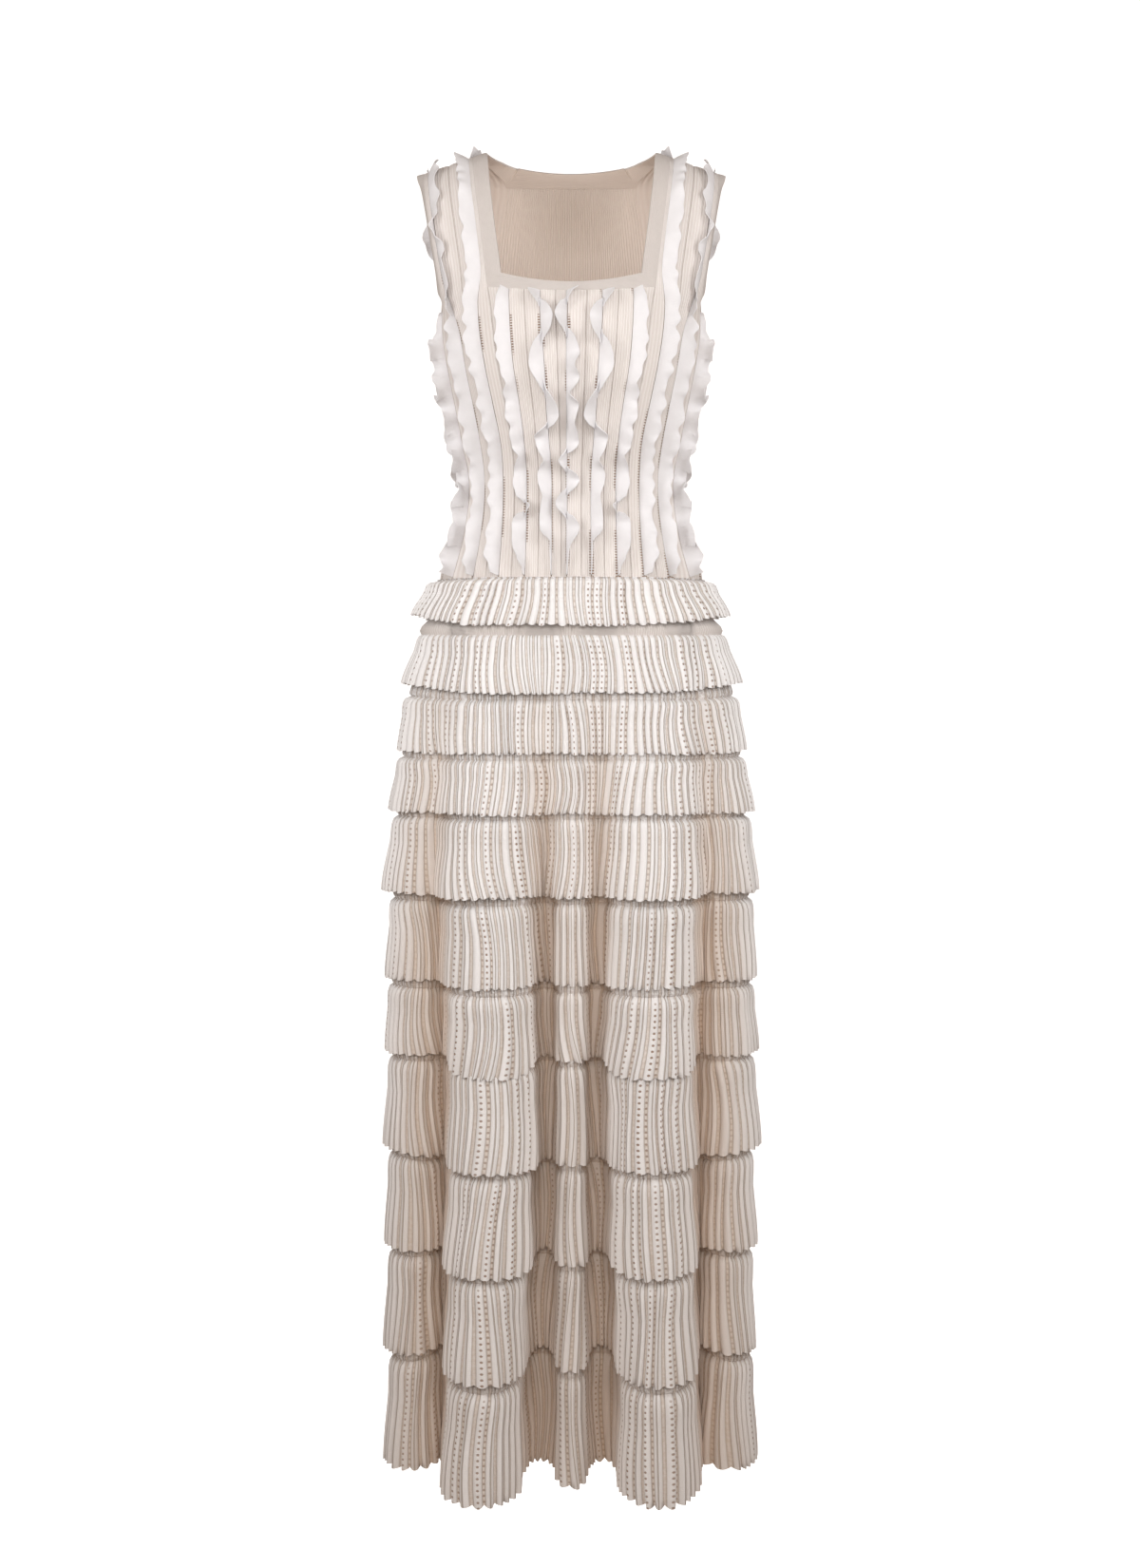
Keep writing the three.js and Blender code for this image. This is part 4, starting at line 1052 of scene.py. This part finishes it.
def ruffle_tier(number, material, sizes):
    """One tier: looped heading, puffed shoulder and uneven accordion pleats down to a scalloped hem."""
    row = {key: float(column[number]) for key, column in TIERS.items()}
    pleats = int(row["pleats"])
    points = pleats * PLEAT_POINTS
    rng = np.random.default_rng(40 + number)
    lift = np.append(HEADING_LIFT, 0 * TIER_ROWS)[:, None] * row["heading"]
    down = np.append(0 * HEADING_LIFT, TIER_ROWS)[:, None]
    spot = np.arange(points) / points
    pleat = spot * pleats
    shares, _ = even_shares(row["top"], row["puff"], points)

    def sway(key):
        a_pleat, size = UNEVEN[key]
        return wander(rng, max(4, round(pleats * a_pleat)), spot) * size

    # Pleats lean and bow sideways in groups on their way down
    lean = sway("group_lean") + sway("lean")
    drift = (sway("start") + lean * down + sway("bow") * np.sin(np.pi * down)) / pleats
    share = np.interp((spot + drift) % 1, np.append(spot, 1), np.append(shares, 1)) % 1
    rise = np.clip(through(FOLD_RISE, share * len(FOLD_POINTS), closed=True), 0, 1.1)
    angle = hip_angle(share)
    sideways = np.abs(np.sin(angle)) ** 4
    from_front = np.degrees(np.arccos(np.clip(np.cos(angle), -1, 1)))
    on_lobe = ease((from_front - LOBE[0]) / LOBE_FADE) * ease((LOBE[1] - from_front) / LOBE_FADE)
    on_lobe = on_lobe * (1 - np.clip(rise * 1.5, 0, 1))
    # The heading follows the lifted hem of the tier above
    top = row["top"] + row["climb"] * sideways + (TIERS["valley"][number - 1] if number else 0) * rise
    hem = row["hem"] + row["side"] * sideways + row["valley"] * rise - row["lobe"] * on_lobe
    scallop = np.abs(np.cos(np.pi * pleat)) ** 0.8 * row["scallop"]
    hem = hem + sway("hem") + sway("hem_wave") - scallop + HEM_LIFT
    z = top + lift + sway("loop") * lift * LOOP_UNEVEN + (hem - top) * down
    usual, least, most = PLEAT_DEPTH
    strength = np.clip(usual + sway("depth") + sway("depth_wave"), least, most) * (1 - VALLEY_LOSS * rise)
    depth = sizes.pleat_depth * strength * (TOP_DEPTH + (1 - TOP_DEPTH) * ease(down / FULL_DEPTH))
    fold = np.tanh(WELT_SQUARE * (np.cos(2 * np.pi * pleat) + WELT_WIDE)) * depth * ease(down / 0.04 + 0.15)
    stand = row["seam"] + (row["puff"] - row["seam"]) * ease(down / PUFFED) ** 0.5
    stand = stand + SHOULDER_PUFF * np.sin(np.pi * np.clip(down / SHOULDER_END, 0, 1))
    stand = stand + (row["flare"] - row["puff"]) * ease((down - FLARE_START) / (1 - FLARE_START))
    swell = sway("swell_wave") * ease(down) + sway("swell") * ease(down / 0.5)
    loops = np.cos(3 * np.pi * pleat + sway("loop_place")) * np.interp(lift, *HEADING_LOOPS)
    out = stand + swell + np.interp(lift, *HEADING_CURL) + loops
    # The inside of the cloth stays clear of the carrying skirt
    out = np.maximum(out, sizes.tier_wall + 0.5 - np.minimum(fold, 0))
    outer = skirt_point(share, z, out, fold)
    inner = skirt_point(share, z, out - sizes.tier_wall, fold)
    # Where the valleys take their painted warm shade, and how much painted shade the cloth takes towards the
    # floor
    shaded = rise * np.clip((-row["top"] - SHADE_START) / SHADE_SPAN, 0, 1)
    low = np.clip((-z[:, :1] - WARM_START) / WARM_SPAN, 0, 1)
    cloth_down, ring = (np.append(values, values[:, :1], axis=1) for values in (top - z, shaded))
    uv = pair(np.arange(points + 1) / points * pleats * PLEAT_CLOTH, cloth_down)
    fold_uv = pair(ring, low)
    name = f"tier_{number + 1:02d}"
    uvs = {"knit": (uv, uv), "fold": (fold_uv, fold_uv)}
    mesh = make_shell("ruffle_" + name, outer, inner, uvs, closed=True)
    deep = row["top"] - row["hem"] + HEADING_LIFT[0] * row["heading"]
    cut = (round(pleats * PLEAT_CUT * MM, 3), round(deep * MM, 3))
    place("ruffle_" + name, mesh, material, "openwork_knit", [name], cut, "gathered", ["carrying_skirt"])


# Operators


class AddBodice(bpy.types.Operator):
    """Add the front and back of the rib-knit bodice"""

    bl_idname = "dress.add_bodice"
    bl_label = "Add Bodice"

    def execute(self, context):
        sizes = context.scene.dress_sizes
        material = knit_materials(context.scene)["rib"]
        bodice_panel("bodice_front_panel", FRONT_PANEL, "bodice_front", material, sizes)
        bodice_panel("bodice_back_panel", BACK_PANEL, "bodice_back", material, sizes)
        return {"FINISHED"}


class AddBands(bpy.types.Operator):
    """Add the bands of the neck and the armholes"""

    bl_idname = "dress.add_bands"
    bl_label = "Add Bands"

    def execute(self, context):
        sizes = context.scene.dress_sizes
        material = knit_materials(context.scene)["band"]
        neckband("neck_band_front", FRONT_PANEL, "neckband_front", material, sizes)
        neckband("neck_band_back", BACK_PANEL, "neckband_back", material, sizes)
        edge, rim, normal = armhole_stations(sizes)
        places = np.arange(len(edge) * 8) / 8
        edge, rim, normal = (through(values, places, closed=True) for values in (edge, rim, unit(normal)))
        for word, side in (("left", 1), ("right", -1)):
            flip = np.array([side, 1, 1])
            band_shell(f"armhole_band_{word}", edge * flip, rim * flip, unit(normal) * flip, True, material,
                       f"armband_{word}", sizes, (0.47, 0.011))
        return {"FINISHED"}


class AddFrills(bpy.types.Operator):
    """Add the vertical frills of the front and back"""

    bl_idname = "dress.add_frills"
    bl_label = "Add Frills"

    def execute(self, context):
        sizes = context.scene.dress_sizes
        material = knit_materials(context.scene)["frill"]
        for face, panel in (("front", FRONT_PANEL), ("back", BACK_PANEL)):
            for letter, (line, seed) in FRILL_LINES.items():
                turns = FRONT_FRILLS[letter] if face == "front" else back_turns(BACK_START[letter], seed)
                for word, side in (("_left", 1), ("_right", -1)) if line else (("", 1),):
                    name = f"{face}_frill_{letter}{word}"
                    node = f"frill_{face}_{letter}{word}"
                    frill(name, panel, line, side, turns, node, material, sizes)
        return {"FINISHED"}


class AddCarryingSkirt(bpy.types.Operator):
    """Add the knit skirt that carries the tiers"""

    bl_idname = "dress.add_carrying_skirt"
    bl_label = "Add Carrying Skirt"

    def execute(self, context):
        carrying_skirt(knit_materials(context.scene)["rib"], context.scene.dress_sizes)
        return {"FINISHED"}


class AddTiers(bpy.types.Operator):
    """Add the pleated openwork tiers"""

    bl_idname = "dress.add_tiers"
    bl_label = "Add Tiers"

    def execute(self, context):
        material = knit_materials(context.scene)["openwork"]
        for number in range(len(TIERS["top"])):
            ruffle_tier(number, material, context.scene.dress_sizes)
        return {"FINISHED"}


class AddStage(bpy.types.Operator):
    """Add the pale studio sweep, the soft lights and the camera"""

    bl_idname = "dress.add_stage"
    bl_label = "Add Stage"

    def execute(self, context):
        scene = context.scene
        add_sweep(scene)
        add_lights(scene)
        camera = bpy.data.cameras.new("dress_camera")
        camera.lens = CAMERA_LENS
        camera.sensor_width = SENSOR
        holder = bpy.data.objects.new("dress_camera", camera)
        holder.location = CAMERA_PLACE
        holder.rotation_euler = (CAMERA_PITCH, 0, 0)
        scene.collection.objects.link(holder)
        scene.camera = holder
        scene.view_settings.view_transform = "Standard"
        return {"FINISHED"}


def add_sweep(scene):
    """A pale round studio: a floor that curves up into a wall on all sides. It glows, so that it stays
    white, but its glow doesn't fall on the dress."""
    floor, bend, top, sides, glow = 4.2, 0.8, 3.0, 64, 0.95
    quarter = np.linspace(0, np.pi / 2, 13)
    profile = [(floor + bend * math.sin(a), FLOOR_Z + bend * (1 - math.cos(a))) for a in quarter]
    profile.append((floor + bend, top))
    turns = np.arange(sides) / sides * 2 * np.pi
    points = [(r * math.cos(turn), r * math.sin(turn), z) for r, z in profile for turn in turns]
    faces = [tuple(reversed(range(sides)))]
    for ring in range(len(profile) - 1):
        for i in range(sides):
            near, far = ring * sides + i, ring * sides + (i + 1) % sides
            faces.append((near, far, far + sides, near + sides))
    mesh = bpy.data.meshes.new("studio_sweep")
    mesh.from_pydata(points, [], faces)
    mesh.shade_smooth()
    material, add = start_material("Matt paper sweep, white")
    colour = rgba(scene.dress_colours.sweep)
    paper = {"Base Color": colour, "Roughness": 0.9, "Emission Color": colour, "Emission Strength": glow}
    add("OutputMaterial", [add("BsdfPrincipled", paper)[0]])
    mesh.materials.append(material)
    sweep = bpy.data.objects.new("studio_sweep", mesh)
    sweep.visible_diffuse = False
    sweep.visible_glossy = False
    scene.collection.objects.link(sweep)


def add_lights(scene):
    """Two soft lights beside the bodice, one in front and one behind, and a dim warm surround."""
    for name, at, target, size, power, tint in LIGHTS:
        lamp = bpy.data.lights.new(name, "AREA")
        lamp.shape = "RECTANGLE"
        lamp.size, lamp.size_y = size
        lamp.energy = power
        lamp.color = tint
        holder = bpy.data.objects.new(name, lamp)
        holder.location = at
        way = Vector(target) - Vector(at)
        holder.rotation_euler = way.to_track_quat("-Z", "Y").to_euler()
        holder.visible_camera = False
        scene.collection.objects.link(holder)
    world = bpy.data.worlds.new("studio")
    scene.world = world
    world.use_nodes = True
    world.node_tree.nodes.clear()
    add = functools.partial(add_node, world.node_tree)
    add("OutputWorld", [add("Background", [WARM_SURROUND, SURROUND_STRENGTH])[0]])


class DressPanel(bpy.types.Panel):
    """Sidebar panel with the sizes, the colours and a button for each group of pieces"""

    bl_idname = "VIEW3D_PT_dress"
    bl_label = "Tiered Knit Dress"
    bl_space_type = "VIEW_3D"
    bl_region_type = "UI"
    bl_category = "Dress"

    def draw(self, context):
        for group in (context.scene.dress_sizes, context.scene.dress_colours):
            for key in group.__annotations__:
                self.layout.prop(group, key)
        for operator in OPERATORS:
            self.layout.operator(operator.bl_idname)


OPERATORS = (AddBodice, AddBands, AddFrills, AddCarryingSkirt, AddTiers, AddStage)
CLASSES = (DressSizes, DressColours, *OPERATORS, DressPanel)


def register():
    for item in CLASSES:
        bpy.utils.register_class(item)
    bpy.types.Scene.dress_sizes = bpy.props.PointerProperty(type=DressSizes)
    bpy.types.Scene.dress_colours = bpy.props.PointerProperty(type=DressColours)


def unregister():
    del bpy.types.Scene.dress_sizes
    del bpy.types.Scene.dress_colours
    for item in reversed(CLASSES):
        bpy.utils.unregister_class(item)


def main():
    register()
    bpy.ops.dress.add_stage()
    bpy.ops.dress.add_bodice()
    bpy.ops.dress.add_bands()
    bpy.ops.dress.add_frills()
    bpy.ops.dress.add_carrying_skirt()
    bpy.ops.dress.add_tiers()


if __name__ == "__main__":
    main()
